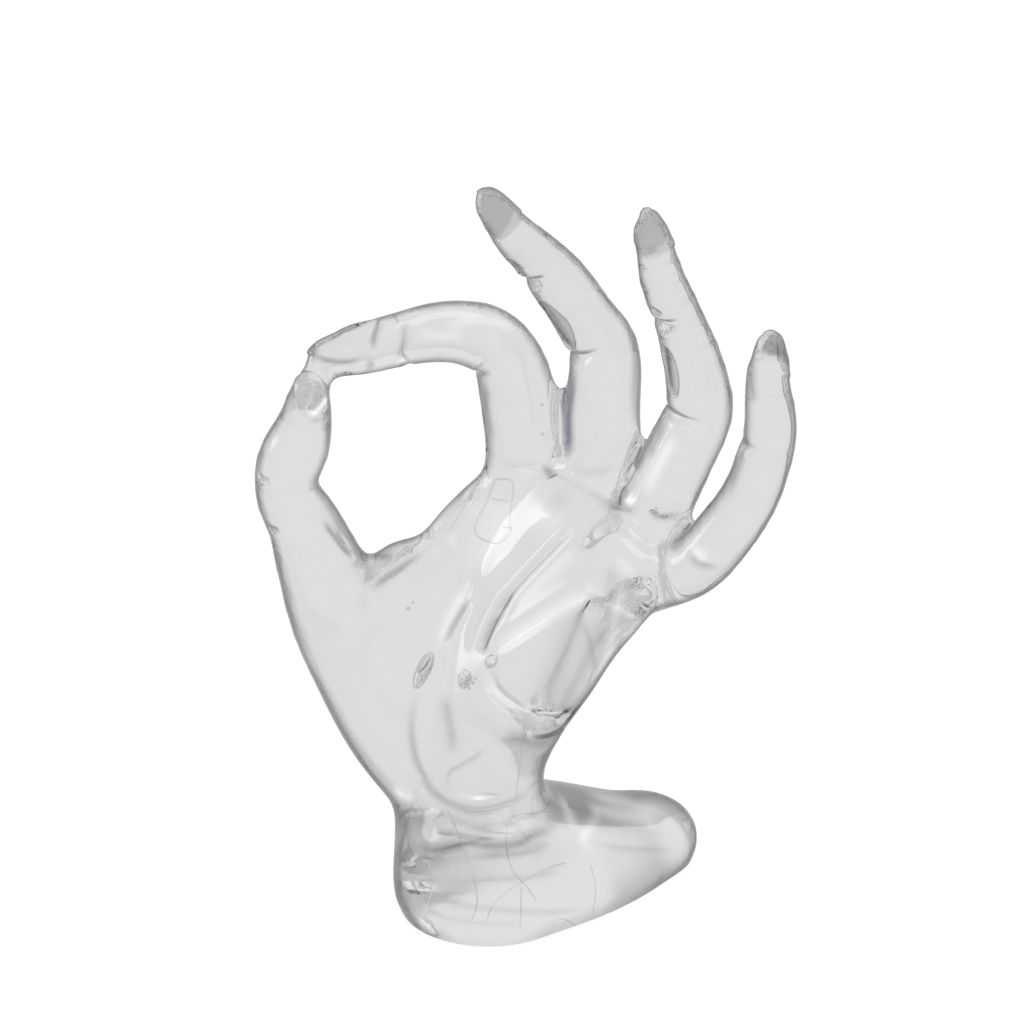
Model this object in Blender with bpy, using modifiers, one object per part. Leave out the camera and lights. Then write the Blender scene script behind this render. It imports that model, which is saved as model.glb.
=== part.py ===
"""Hand jewelry stand: one clear casting of a left hand that makes a ring with its thumb and index finger.

The wrist flares into a flat-bottomed foot. Rings and bracelets go on the fingers and hang in the gaps.
X points to the right of the palm, Y points away behind the palm, and Z points up. The origin is on the
flat underside, below the wrist. The stations below are in millimetres, and the mesh is in metres.
"""

import bmesh
import bpy
import numpy as np

MM = 0.001
COLLECTION_NAME = "hand jewelry stand"
NODE_NAME = "hand_casting"

# A station is the middle of a limb's section (x, y, z), its size across the hinge and its size from
# the palm side to the back, all in millimetres.
THUMB_STATIONS = (
    (-3.0, 3.0, 18.0, 24.0, 24.0),
    (-14.0, 5.0, 36.0, 29.0, 26.0),
    (-22.5, 6.5, 50.0, 27.0, 24.0),
    (-29.5, 6.5, 62.0, 22.5, 19.5),
    (-34.4, 5.0, 77.5, 18.4, 16.8),
    (-37.0, 4.6, 85.3, 15.8, 15.4),
    (-39.3, 4.2, 89.6, 14.5, 14.4),
    (-40.4, 4.0, 94.0, 13.6, 14.0),
    (-40.0, 3.8, 97.8, 14.0, 14.4),
    (-38.4, 3.7, 101.6, 14.6, 14.4),
    (-36.9, 3.6, 105.2, 13.6, 13.4),
    (-35.8, 3.6, 108.8, 11.9, 12.0),
    (-35.0, 3.6, 113.2, 10.3, 10.0),
    (-34.9, 3.6, 116.4, 8.2, 7.8),
)
INDEX_STATIONS = (
    (7.0, 16.0, 74.0, 17.0, 17.0),
    (9.8, 20.0, 92.0, 17.0, 17.0),
    (8.4, 20.0, 106.5, 16.0, 16.8),
    (6.4, 19.0, 115.8, 15.6, 15.4),
    (1.2, 17.5, 121.9, 14.6, 14.8),
    (-6.9, 15.0, 124.2, 13.2, 13.4),
    (-15.7, 11.0, 124.3, 12.0, 11.8),
    (-24.4, 8.0, 122.9, 11.2, 10.8),
    (-30.0, 6.0, 122.2, 9.0, 8.4),
)
MIDDLE_STATIONS = (
    (21.0, 11.0, 78.0, 16.0, 17.0),
    (26.1, 14.0, 94.4, 15.8, 16.0),
    (26.2, 14.0, 107.9, 16.2, 16.6),
    (26.5, 13.5, 120.0, 15.0, 15.4),
    (21.9, 12.0, 129.0, 13.2, 13.6),
    (17.0, 10.0, 137.2, 12.6, 13.0),
    (12.2, 8.0, 143.8, 10.8, 11.2),
    (7.8, 6.0, 148.8, 9.6, 10.0),
    (4.4, 4.0, 154.2, 8.2, 8.4),
)
RING_STATIONS = (
    (31.0, 1.0, 74.0, 15.0, 17.0),
    (37.1, 2.0, 89.7, 15.4, 15.6),
    (41.7, 3.0, 100.7, 15.4, 15.6),
    (46.0, 3.0, 111.6, 14.4, 14.8),
    (44.5, 2.0, 122.1, 12.8, 13.2),
    (42.7, 1.0, 128.4, 11.4, 12.0),
    (40.8, 0.0, 134.2, 10.4, 11.0),
    (37.8, -2.0, 142.1, 9.8, 10.2),
    (36.0, -4.0, 149.6, 8.4, 8.8),
)
PINKY_STATIONS = (
    (34.0, -4.0, 74.0, 12.0, 13.0),
    (44.3, -9.0, 81.0, 13.2, 13.2),
    (50.7, -10.5, 89.2, 13.2, 13.4),
    (56.0, -12.0, 98.8, 12.4, 12.8),
    (58.9, -12.5, 108.7, 11.8, 12.2),
    (59.8, -13.0, 114.7, 11.2, 11.6),
    (59.2, -13.5, 120.5, 10.4, 10.8),
    (58.7, -14.0, 126.6, 9.2, 9.6),
    (58.9, -14.5, 131.0, 7.8, 8.0),
)
PALM_STATIONS = (
    (-2.0, 0.0, 20.0, 34.0, 29.0),
    (-1.0, 0.5, 32.0, 34.0, 27.0),
    (3.0, 1.5, 45.0, 38.0, 25.0),
    (9.0, 3.0, 58.0, 44.0, 24.0),
    (14.5, 4.5, 70.0, 49.0, 22.0),
    (22.0, 5.0, 82.0, 52.0, 19.0),
    (26.0, 5.5, 88.0, 46.0, 16.0),
)
# The web runs sideways, from the thumb's root to the index finger's, so its sizes are front to back
# and up and down.
WEB_STATIONS = (
    (-31.0, 6.0, 62.0, 14.0, 18.0),
    (-22.5, 7.2, 64.0, 14.4, 23.0),
    (-16.0, 9.4, 64.6, 14.6, 21.6),
    (-10.5, 12.0, 65.4, 14.6, 21.6),
    (-5.0, 14.6, 69.4, 14.6, 21.6),
    (0.5, 16.6, 75.6, 14.6, 22.0),
    (4.5, 18.0, 81.5, 14.6, 19.0),
    (8.0, 18.6, 86.0, 15.0, 15.0),
)
# The ball of the thumb fills the palm between the thumb's root and the index finger's.
BALL_STATIONS = (
    (-7.0, 3.0, 24.0, 24.0, 22.0),
    (-12.0, 5.0, 40.0, 32.0, 24.0),
    (-14.0, 8.0, 54.0, 36.0, 22.0),
    (-11.0, 10.0, 64.0, 32.0, 17.0),
    (-5.0, 11.5, 70.0, 22.0, 14.0),
)

# The hinge is the line a finger bends about. It points to the thumb's side of the hand, and it turns
# from the first vector at the root to the second at the tip.
PALM_HINGE = (-0.67, 0.74, 0.0)
THUMB_HINGES = ((1.0, 0.0, 0.0), (1.0, 0.0, 0.0))
INDEX_HINGES = ((-0.3, 0.95, 0.0), (0.0, 0.87, 0.5))
FINGER_HINGES = (PALM_HINGE, PALM_HINGE)
WEB_HINGES = ((0.0, 1.0, 0.0), (0.0, 1.0, 0.0))

# The rounded end beyond a limb's last station, made of rings at these turns in degrees.
END_TURNS = (80.0, 60.0, 40.0, 20.0)
THUMB_TIP_LENGTH = 3.4
INDEX_TIP_LENGTH = 6.6
MIDDLE_TIP_LENGTH = 8.6
RING_TIP_LENGTH = 11.5
PINKY_TIP_LENGTH = 6.6
STUB_LENGTH = 3.0

# A nail plate: its length from the cuticle to the tip, its width, how far it stands out, the share of
# it that slopes at the edge, and how square its outline is (2 is an oval).
NAIL_LENGTHS = {"thumb": 10.2, "index": 15.0, "middle": 10.5, "ring": 11.0, "pinky": 11.5}
NAIL_WIDTHS = {"thumb": 8.4, "index": 9.0, "middle": 8.4, "ring": 8.4, "pinky": 8.0}
NAIL_RAISE = 0.6
NAIL_EDGE = 0.35
NAIL_SQUARENESS = 2.4

# The foot: its outline is a round heel below the wrist and a smaller round toe, joined by shallow
# arcs. Its crest is a narrower outline of the same kind, high at the instep and low at the toe.
FOOT_HEEL = (2.0, -7.4)
FOOT_HEEL_RADIUS = 21.1
FOOT_TOE = (35.0, 13.0)
FOOT_TOE_RADIUS = 14.0
FOOT_SIDE_BULGE = 2.2
FOOT_EDGE_HEIGHT = 3.0
FOOT_EDGE_INSET = 2.4
CREST_HEEL_RADIUS = 7.5
CREST_TOE_RADIUS = 0.7
CREST_INSTEP_HEIGHT = 27.0
CREST_TOE_HEIGHT = 12.5
DOME_TURNS = (18.0, 36.0, 54.0, 72.0, 87.0)
DOME_FULLNESS = 0.6

# The wrist: an oval above the heel. The column between them is a heel circle at the ground and
# reaches the wrist's place and size in steps of (height, share of the way).
WRIST_MIDDLE = (-2.0, -0.5)
WRIST_WIDTH = 35.0
WRIST_DEPTH = 30.0
WRIST_RISE = ((3.0, 0.0), (8.0, 0.25), (14.0, 0.6), (19.0, 0.85), (24.0, 1.0), (30.0, 1.0))

# The mesh: the spacing of the skin's grid, the passes that melt the limbs together, the points round
# a section, the sections between two stations, and the triangles that are kept.
GRID_STEP = 1.2
MELT_PASSES = 14
RING_POINTS = 40
STEPS_PER_STATION = 6
TRIANGLE_BUDGET = 11000
DEPTH_BELOW_GROUND = 6.0

CLEAR_RESIN = {"color": (0.93, 0.94, 0.95, 1.0), "roughness": 0.03, "ior": 1.49}


def clear_scene():
    for obj in list(bpy.data.objects):
        bpy.data.objects.remove(obj, do_unlink=True)


def unit(vector):
    vector = np.asarray(vector, float)
    return vector / np.linalg.norm(vector)


def smooth_rows(rows, steps):
    """The rows joined by a smooth curve through all of them, with this many steps between two rows."""
    rows = np.asarray(rows, float)
    padded = np.vstack([2 * rows[0] - rows[1], rows, 2 * rows[-1] - rows[-2]])
    result = []
    for before, start, end, after in zip(padded, padded[1:], padded[2:], padded[3:]):
        for step in range(steps):
            t = step / steps
            result.append(
                0.5 * (2 * start + (end - before) * t
                       + (2 * before - 5 * start + 4 * end - after) * t ** 2
                       + (3 * start - before - 3 * end + after) * t ** 3)
            )
    result.append(rows[-1])
    return np.array(result)


def section_frames(centres, hinges):
    """For each centre: the way along the limb, the way across it, and the way to the back of the hand."""
    along = np.gradient(centres, axis=0)
    along /= np.linalg.norm(along, axis=1, keepdims=True)
    share = np.linspace(0.0, 1.0, len(centres))[:, None]
    hinge = unit(hinges[0]) * (1.0 - share) + unit(hinges[1]) * share
    back = np.cross(hinge, along)
    back /= np.linalg.norm(back, axis=1, keepdims=True)
    return along, np.cross(along, back), back


def add_ring(bm, centre, across, back, width, depth):
    turns = np.linspace(0.0, 2 * np.pi, RING_POINTS, endpoint=False)
    return [
        bm.verts.new((centre + across * width / 2 * np.cos(t) + back * depth / 2 * np.sin(t)) * MM)
        for t in turns
    ]


def join_rings(bm, rings):
    """Skins the rings with faces and closes both ends."""
    for lower, upper in zip(rings, rings[1:]):
        for k in range(len(lower)):
            n = (k + 1) % len(lower)
            bm.faces.new((lower[k], lower[n], upper[n], upper[k]))
    bm.faces.new(rings[0][::-1])
    bm.faces.new(rings[-1])


def add_limb(bm, stations, hinges, tip_length):
    """A tapering limb through its stations, with rounded ends."""
    rows = smooth_rows(stations, STEPS_PER_STATION)
    centres, widths, depths = rows[:, :3], rows[:, 3], rows[:, 4]
    along, across, back = section_frames(centres, hinges)
    turns = np.radians(END_TURNS)
    rings = []
    for turn in turns:
        place = centres[0] - along[0] * STUB_LENGTH * np.sin(turn)
        shrink = np.cos(turn)
        rings.append(add_ring(bm, place, across[0], back[0], widths[0] * shrink, depths[0] * shrink))
    for row in range(len(rows)):
        rings.append(add_ring(bm, centres[row], across[row], back[row], widths[row], depths[row]))
    for turn in turns[::-1]:
        place = centres[-1] + along[-1] * tip_length * np.sin(turn)
        shrink = np.cos(turn)
        rings.append(add_ring(bm, place, across[-1], back[-1], widths[-1] * shrink, depths[-1] * shrink))
    join_rings(bm, rings)


def bulged_line(start, end, shares):
    """Points from start to end on a shallow arc that bulges to the right of the way there."""
    way = end - start
    outward = np.array([way[1], -way[0]]) / np.linalg.norm(way)
    line = start + way * shares[:, None]
    return line + outward * FOOT_SIDE_BULGE * np.sin(np.pi * shares)[:, None]


def circle_arc(middle, radius, first_turn, last_turn):
    turns = np.linspace(first_turn, last_turn, RING_POINTS // 2)
    return middle + radius * np.column_stack([np.cos(turns), np.sin(turns)])


def foot_outline(heel_radius, toe_radius):
    """Points round the heel's and the toe's circles and the two arcs that join them."""
    heel, toe = np.array(FOOT_HEEL), np.array(FOOT_TOE)
    way = toe - heel
    heading = np.arctan2(way[1], way[0])
    touch = np.arccos((heel_radius - toe_radius) / np.linalg.norm(way))
    toe_arc = circle_arc(toe, toe_radius, heading - touch, heading + touch)
    heel_arc = circle_arc(heel, heel_radius, heading + touch, heading + 2 * np.pi - touch)
    shares = np.linspace(0.0, 1.0, RING_POINTS // 4 + 2)[1:-1]
    return np.vstack([
        toe_arc,
        bulged_line(toe_arc[-1], heel_arc[0], shares),
        heel_arc,
        bulged_line(heel_arc[-1], toe_arc[0], shares),
    ])


def crest_heights(outline):
    """The crest's height above each point: it falls from the instep to the toe."""
    heel, toe = np.array(FOOT_HEEL), np.array(FOOT_TOE)
    way = toe - heel
    forward = np.clip((outline - heel) @ way / (way @ way), 0.0, 1.0)
    return CREST_INSTEP_HEIGHT + (CREST_TOE_HEIGHT - CREST_INSTEP_HEIGHT) * forward


def add_level_ring(bm, outline, heights):
    return [bm.verts.new((x * MM, y * MM, z * MM)) for (x, y), z in zip(outline, heights)]


def add_foot(bm):
    """The foot: rounded at its lower edge, then domed up to its crest."""
    rings = []
    for height, inset in (
        (-DEPTH_BELOW_GROUND, FOOT_EDGE_INSET),
        (0.0, FOOT_EDGE_INSET),
        (FOOT_EDGE_HEIGHT / 2, FOOT_EDGE_INSET / 4),
        (FOOT_EDGE_HEIGHT, 0.0),
    ):
        outline = foot_outline(FOOT_HEEL_RADIUS - inset, FOOT_TOE_RADIUS - inset)
        rings.append(add_level_ring(bm, outline, np.full(len(outline), height)))
    for turn in np.radians(DOME_TURNS):
        pinch = np.cos(turn) ** DOME_FULLNESS
        heel_radius = CREST_HEEL_RADIUS + (FOOT_HEEL_RADIUS - CREST_HEEL_RADIUS) * pinch
        toe_radius = CREST_TOE_RADIUS + (FOOT_TOE_RADIUS - CREST_TOE_RADIUS) * pinch
        outline = foot_outline(heel_radius, toe_radius)
        rise = (crest_heights(outline) - FOOT_EDGE_HEIGHT) * np.sin(turn)
        rings.append(add_level_ring(bm, outline, FOOT_EDGE_HEIGHT + rise))
    join_rings(bm, rings)


def add_wrist(bm):
    """The column that rises from the heel of the foot and narrows to the wrist."""
    heel = np.array([*FOOT_HEEL, 0.0])
    wrist = np.array([*WRIST_MIDDLE, 0.0])
    up = np.array([0.0, 0.0, 1.0])
    across = unit(PALM_HINGE)
    back = np.cross(across, up)
    sole_size = 2 * (FOOT_HEEL_RADIUS - FOOT_EDGE_INSET)
    rings = [
        add_ring(bm, heel - up * DEPTH_BELOW_GROUND, across, back, sole_size, sole_size),
        add_ring(bm, heel, across, back, sole_size, sole_size),
    ]
    for height, share in WRIST_RISE:
        middle = heel + (wrist - heel) * share + up * height
        width = 2 * FOOT_HEEL_RADIUS * (1 - share) + WRIST_WIDTH * share
        depth = 2 * FOOT_HEEL_RADIUS * (1 - share) + WRIST_DEPTH * share
        rings.append(add_ring(bm, middle, across, back, width, depth))
    join_rings(bm, rings)


def rough_hand():
    """All limbs, the palm, the wrist and the foot as overlapping closed shapes in one mesh."""
    bm = bmesh.new()
    add_limb(bm, THUMB_STATIONS, THUMB_HINGES, THUMB_TIP_LENGTH)
    add_limb(bm, INDEX_STATIONS, INDEX_HINGES, INDEX_TIP_LENGTH)
    add_limb(bm, MIDDLE_STATIONS, FINGER_HINGES, MIDDLE_TIP_LENGTH)
    add_limb(bm, RING_STATIONS, FINGER_HINGES, RING_TIP_LENGTH)
    add_limb(bm, PINKY_STATIONS, FINGER_HINGES, PINKY_TIP_LENGTH)
    add_limb(bm, PALM_STATIONS, FINGER_HINGES, STUB_LENGTH)
    add_limb(bm, WEB_STATIONS, WEB_HINGES, STUB_LENGTH)
    add_limb(bm, BALL_STATIONS, THUMB_HINGES, STUB_LENGTH)
    add_foot(bm)
    add_wrist(bm)
    bmesh.ops.recalc_face_normals(bm, faces=bm.faces)
    mesh = bpy.data.meshes.new("rough hand")
    bm.to_mesh(mesh)
    bm.free()
    return mesh


def evaluated_copy(obj):
    """The object's mesh with its modifiers applied."""
    graph = bpy.context.evaluated_depsgraph_get()
    return bpy.data.meshes.new_from_object(obj.evaluated_get(graph), depsgraph=graph)


def melt_together(mesh):
    """One skin round the overlapping shapes, with soft joins."""
    obj = bpy.data.objects.new("melting", mesh)
    bpy.context.scene.collection.objects.link(obj)
    grid = obj.modifiers.new("one skin", "REMESH")
    grid.mode = "VOXEL"
    grid.voxel_size = GRID_STEP * MM
    melt = obj.modifiers.new("soft joins", "SMOOTH")
    melt.factor = 0.5
    melt.iterations = MELT_PASSES
    result = evaluated_copy(obj)
    bpy.data.objects.remove(obj)
    bpy.data.meshes.remove(mesh)
    return result


def mesh_points(mesh):
    points = np.empty(len(mesh.vertices) * 3)
    mesh.vertices.foreach_get("co", points)
    return points.reshape(-1, 3) / MM


def raise_nail(points, stations, hinges, tip_length, nail_length, nail_width):
    """Moves the skin inside a nail's outline out towards the back of the finger."""
    rows = smooth_rows(stations, STEPS_PER_STATION)
    along, across, back = section_frames(rows[:, :3], hinges)
    tip = rows[-1, :3] + along[-1] * tip_length
    offset = points - tip
    behind_tip = -offset @ along[-1]
    beside = np.abs(offset @ across[-1])
    above = offset @ back[-1]
    half_length = nail_length / 2
    outline = (
        (beside / (nail_width / 2)) ** NAIL_SQUARENESS
        + (np.abs(behind_tip - half_length) / half_length) ** NAIL_SQUARENESS
    )
    inside = np.clip((1.0 - outline) / NAIL_EDGE, 0.0, 1.0)
    inside = inside * inside * (3.0 - 2.0 * inside)
    on_back = (above > 0.0) & (np.linalg.norm(offset, axis=1) < 2 * nail_length)
    return points + np.where(on_back, inside, 0.0)[:, None] * back[-1] * NAIL_RAISE


def shape_nails(mesh):
    points = mesh_points(mesh)
    fingers = (
        ("thumb", THUMB_STATIONS, THUMB_HINGES, THUMB_TIP_LENGTH),
        ("index", INDEX_STATIONS, INDEX_HINGES, INDEX_TIP_LENGTH),
        ("middle", MIDDLE_STATIONS, FINGER_HINGES, MIDDLE_TIP_LENGTH),
        ("ring", RING_STATIONS, FINGER_HINGES, RING_TIP_LENGTH),
        ("pinky", PINKY_STATIONS, FINGER_HINGES, PINKY_TIP_LENGTH),
    )
    for name, stations, hinges, tip_length in fingers:
        points = raise_nail(points, stations, hinges, tip_length, NAIL_LENGTHS[name], NAIL_WIDTHS[name])
    mesh.vertices.foreach_set("co", (points * MM).ravel())
    mesh.update()


def thin_out(mesh):
    """Fewer triangles, with the shape kept."""
    obj = bpy.data.objects.new("thinning", mesh)
    bpy.context.scene.collection.objects.link(obj)
    mesh.calc_loop_triangles()
    fewer = obj.modifiers.new("fewer triangles", "DECIMATE")
    fewer.ratio = min(1.0, TRIANGLE_BUDGET / len(mesh.loop_triangles))
    result = evaluated_copy(obj)
    bpy.data.objects.remove(obj)
    bpy.data.meshes.remove(mesh)
    return result


def cut_flat_underside(mesh):
    """Cuts the foot off at the ground and closes it with one flat face."""
    bm = bmesh.new()
    bm.from_mesh(mesh)
    everything = bm.verts[:] + bm.edges[:] + bm.faces[:]
    bmesh.ops.bisect_plane(
        bm, geom=everything, dist=1e-6, plane_co=(0, 0, 0), plane_no=(0, 0, 1), clear_inner=True
    )
    rim = [edge for edge in bm.edges if edge.is_boundary]
    bmesh.ops.contextual_create(bm, geom=rim)
    bmesh.ops.triangulate(bm, faces=bm.faces)
    bmesh.ops.recalc_face_normals(bm, faces=bm.faces)
    bm.to_mesh(mesh)
    bm.free()


def clear_resin():
    material = bpy.data.materials.new("clear resin")
    material.use_nodes = True
    shader = material.node_tree.nodes["Principled BSDF"]
    shader.inputs["Base Color"].default_value = CLEAR_RESIN["color"]
    shader.inputs["Roughness"].default_value = CLEAR_RESIN["roughness"]
    shader.inputs["IOR"].default_value = CLEAR_RESIN["ior"]
    shader.inputs["Transmission Weight"].default_value = 1.0
    shader.inputs["Metallic"].default_value = 0.0
    return material


def main():
    clear_scene()
    mesh = melt_together(rough_hand())
    shape_nails(mesh)
    mesh = thin_out(mesh)
    cut_flat_underside(mesh)
    mesh.name = NODE_NAME
    mesh.shade_smooth()
    mesh.materials.clear()
    mesh.materials.append(clear_resin())
    parts = bpy.data.collections.new(COLLECTION_NAME)
    bpy.context.scene.collection.children.link(parts)
    parts.objects.link(bpy.data.objects.new(NODE_NAME, mesh))


main()
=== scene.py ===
"""The looks of the hand jewelry stand: one clear resin casting, with its nails, creases and flow lines."""

import math

import bmesh
import bpy
import numpy as np
from mathutils import Matrix, Vector
from mathutils.bvhtree import BVHTree


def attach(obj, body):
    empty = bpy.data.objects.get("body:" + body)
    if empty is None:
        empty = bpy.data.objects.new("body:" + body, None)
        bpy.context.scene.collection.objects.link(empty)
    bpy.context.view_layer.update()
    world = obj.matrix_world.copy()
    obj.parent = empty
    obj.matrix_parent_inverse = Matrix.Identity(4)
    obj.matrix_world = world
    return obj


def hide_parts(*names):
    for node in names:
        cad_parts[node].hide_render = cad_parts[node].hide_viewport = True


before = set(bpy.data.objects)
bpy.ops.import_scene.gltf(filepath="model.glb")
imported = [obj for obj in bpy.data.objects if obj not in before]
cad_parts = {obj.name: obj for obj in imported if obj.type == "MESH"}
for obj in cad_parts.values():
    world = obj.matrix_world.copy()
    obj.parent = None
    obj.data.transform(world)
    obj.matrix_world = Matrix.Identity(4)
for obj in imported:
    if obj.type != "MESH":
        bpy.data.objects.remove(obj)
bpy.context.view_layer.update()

bl_info = {
    "name": "Hand Jewelry Stand",
    "version": (1, 0, 0),
    "blender": (4, 5, 0),
    "location": "View3D > Sidebar > Hand Stand",
    "description": "Builds the clear cast hand, its resin and the stage round it",
    "category": "Add Mesh",
}

MM = 0.001

# A station is the middle of a limb's section (x, y, z), its size across the hinge and its size from
# the palm side to the back, all in millimetres.
THUMB_STATIONS = (
    (-3.0, 3.0, 18.0, 24.0, 24.0),
    (-14.0, 5.0, 36.0, 29.0, 26.0),
    (-22.5, 6.5, 50.0, 27.0, 24.0),
    (-29.5, 6.5, 62.0, 22.5, 19.5),
    (-34.4, 5.0, 77.5, 18.4, 16.8),
    (-37.0, 4.6, 85.3, 15.8, 15.4),
    (-39.3, 4.2, 89.6, 14.5, 14.4),
    (-40.4, 4.0, 94.0, 13.6, 14.0),
    (-40.0, 3.8, 97.8, 14.0, 14.4),
    (-38.4, 3.7, 101.6, 14.6, 14.4),
    (-36.9, 3.6, 105.2, 13.6, 13.4),
    (-35.8, 2.8, 109.2, 11.9, 12.0),
    (-35.0, 1.6, 114.0, 10.3, 10.0),
    (-34.9, 1.0, 117.5, 8.2, 7.8),
)
INDEX_STATIONS = (
    (7.0, 16.0, 74.0, 17.0, 17.0),
    (9.8, 20.0, 92.0, 17.0, 17.0),
    (8.4, 20.0, 106.5, 16.0, 16.8),
    (6.4, 19.0, 115.8, 15.6, 15.4),
    (1.2, 17.5, 121.9, 14.6, 14.8),
    (-6.9, 15.0, 124.2, 13.2, 13.4),
    (-15.7, 11.0, 124.3, 12.0, 11.8),
    (-24.4, 8.0, 122.9, 11.2, 10.8),
    (-30.0, 6.0, 122.2, 9.0, 8.4),
)
MIDDLE_STATIONS = (
    (21.0, 11.0, 78.0, 16.0, 17.0),
    (26.1, 14.0, 94.4, 15.8, 16.0),
    (26.2, 14.0, 107.9, 16.2, 16.6),
    (26.5, 13.5, 120.0, 15.0, 15.4),
    (21.9, 12.0, 129.0, 13.2, 13.6),
    (17.0, 10.0, 137.2, 12.6, 13.0),
    (12.2, 8.0, 143.8, 10.8, 11.2),
    (7.8, 6.0, 148.8, 9.6, 10.0),
    (4.4, 4.0, 154.2, 8.2, 8.4),
)
RING_STATIONS = (
    (31.0, 1.0, 74.0, 15.0, 17.0),
    (37.1, 2.0, 89.7, 15.4, 15.6),
    (41.7, 3.0, 100.7, 15.4, 15.6),
    (46.0, 3.0, 111.6, 14.4, 14.8),
    (44.5, 2.0, 122.1, 12.8, 13.2),
    (42.7, 1.0, 128.4, 11.4, 12.0),
    (40.8, 0.0, 134.2, 10.4, 11.0),
    (37.8, -2.0, 142.1, 9.8, 10.2),
    (36.0, -4.0, 149.6, 8.4, 8.8),
)
PINKY_STATIONS = (
    (34.0, -4.0, 74.0, 12.0, 13.0),
    (44.3, -9.0, 81.0, 13.2, 13.2),
    (50.7, -10.5, 89.2, 13.2, 13.4),
    (56.0, -12.0, 98.8, 12.4, 12.8),
    (58.9, -12.5, 108.7, 11.8, 12.2),
    (59.8, -13.0, 114.7, 11.2, 11.6),
    (59.2, -13.5, 120.5, 10.4, 10.8),
    (58.7, -14.0, 126.6, 9.2, 9.6),
    (58.9, -14.5, 131.0, 7.8, 8.0),
)
PALM_STATIONS = (
    (-2.0, 0.0, 20.0, 34.0, 29.0),
    (-1.0, 0.5, 32.0, 34.0, 27.0),
    (3.0, 1.5, 45.0, 38.0, 25.0),
    (9.0, 3.0, 58.0, 44.0, 24.0),
    (14.5, 4.5, 70.0, 49.0, 22.0),
    (22.0, 5.0, 82.0, 52.0, 19.0),
    (26.0, 5.5, 88.0, 46.0, 16.0),
)
# The web runs sideways, from the thumb's root to the index finger's, so its sizes are front to back
# and up and down.
WEB_STATIONS = (
    (-31.0, 6.0, 62.0, 14.0, 18.0),
    (-22.5, 7.2, 64.0, 14.4, 23.0),
    (-16.0, 9.4, 64.6, 14.6, 21.6),
    (-10.5, 12.0, 65.4, 14.6, 21.6),
    (-5.0, 14.6, 69.4, 14.6, 21.6),
    (0.5, 16.6, 75.6, 14.6, 22.0),
    (4.5, 18.0, 81.5, 14.6, 19.0),
    (8.0, 18.6, 86.0, 15.0, 15.0),
)

# The ball of the thumb fills the palm between the thumb's root and the index finger's.
BALL_STATIONS = (
    (-7.0, 3.0, 24.0, 24.0, 22.0),
    (-12.0, 5.0, 40.0, 32.0, 24.0),
    (-14.0, 8.0, 54.0, 36.0, 22.0),
    (-11.0, 10.0, 64.0, 32.0, 17.0),
    (-5.0, 11.5, 70.0, 22.0, 14.0),
)

# The hinge is the line a finger bends about. It points to the thumb's side of the hand, and it turns
# from the first vector at the root to the second at the tip.
PALM_HINGE = (-0.67, 0.74, 0.0)
FINGER_HINGES = (PALM_HINGE, PALM_HINGE)
THUMB_HINGES = ((1.0, 0.0, 0.0), (1.0, 0.0, 0.0))
INDEX_HINGES = ((-0.3, 0.95, 0.0), (0.0, 0.87, 0.5))
WEB_HINGES = ((0.0, 1.0, 0.0), (0.0, 1.0, 0.0))

# A limb's root is rounded over this length, and so are the far ends of the palm, the web and the ball.
STUB_LENGTH = 3.0
# Each limb with its stations, its hinges and the length of its rounded tip.
LIMBS = {
    "thumb": (THUMB_STATIONS, THUMB_HINGES, 3.4),
    "index": (INDEX_STATIONS, INDEX_HINGES, 6.6),
    "middle": (MIDDLE_STATIONS, FINGER_HINGES, 8.6),
    "ring": (RING_STATIONS, FINGER_HINGES, 11.5),
    "pinky": (PINKY_STATIONS, FINGER_HINGES, 6.6),
    "palm": (PALM_STATIONS, FINGER_HINGES, STUB_LENGTH),
    "web": (WEB_STATIONS, WEB_HINGES, STUB_LENGTH),
    "ball": (BALL_STATIONS, THUMB_HINGES, STUB_LENGTH),
}
# Rounded ends have a section at each of these turns in degrees. Then the points of a section, and the
# sections from one station to the next.
END_TURNS = (80.0, 60.0, 40.0, 20.0)
SECTION_POINTS = 56
STEPS_PER_STATION = 7

# Nails that lie on the far side of their fingers: lengths, width, how far each ends before the fingertip,
# how far it stands out, its soft edge, and how square it is (2 is an oval).
BACK_NAIL_LENGTHS = {"middle": 10.5, "ring": 11.0, "pinky": 11.5}
BACK_NAIL_WIDTH = 8.0
BACK_NAIL_SETBACK = 1.0
BACK_NAIL_RISE = 0.3
NAIL_EDGE = 0.16
NAIL_SQUARENESS = 3.0
# Only points this many nail lengths from the fingertip are tested.
NAIL_NEAR = 1.6

# Nail shapes as the photograph shows them: the pixels round the shape, how far it stands out of the
# skin, how much painted shade greys it, and whether only the near side of the finger has it.
NAIL_SHAPES = {
    "thumb": (
        ((293, 392), (294, 380), (301, 373), (312, 371), (322, 378), (328, 392), (329, 407), (320, 417),
         (303, 418), (296, 408)),
        0.35, 0.06, True,
    ),
    "index": (
        ((306, 354), (314, 342), (335, 330), (359, 323), (380, 320), (375, 336), (372, 352), (360, 359),
         (336, 361), (315, 358)),
        0.6, 0.04, True,
    ),
    "middle": (
        ((478, 204), (480, 190), (487, 185), (497, 189), (507, 199), (513, 209), (511, 222), (502, 236),
         (494, 241), (485, 228)),
        0.0, 0.42, False,
    ),
    "ring": (
        ((635, 254), (636, 232), (642, 214), (650, 209), (658, 213), (665, 226), (667, 240), (658, 248)),
        0.0, 0.40, False,
    ),
    "pinky": (
        ((763, 342), (772, 331), (782, 333), (792, 346), (795, 372), (787, 368), (777, 358), (764, 352)),
        0.0, 0.55, False,
    ),
}
# A nail shape's soft edge in pixels, its reach from the fingertip, and how squarely the near side faces.
SHAPE_EDGE = 2.2
NAIL_REACH = 20.0
NAIL_FACING = -0.1

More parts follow.
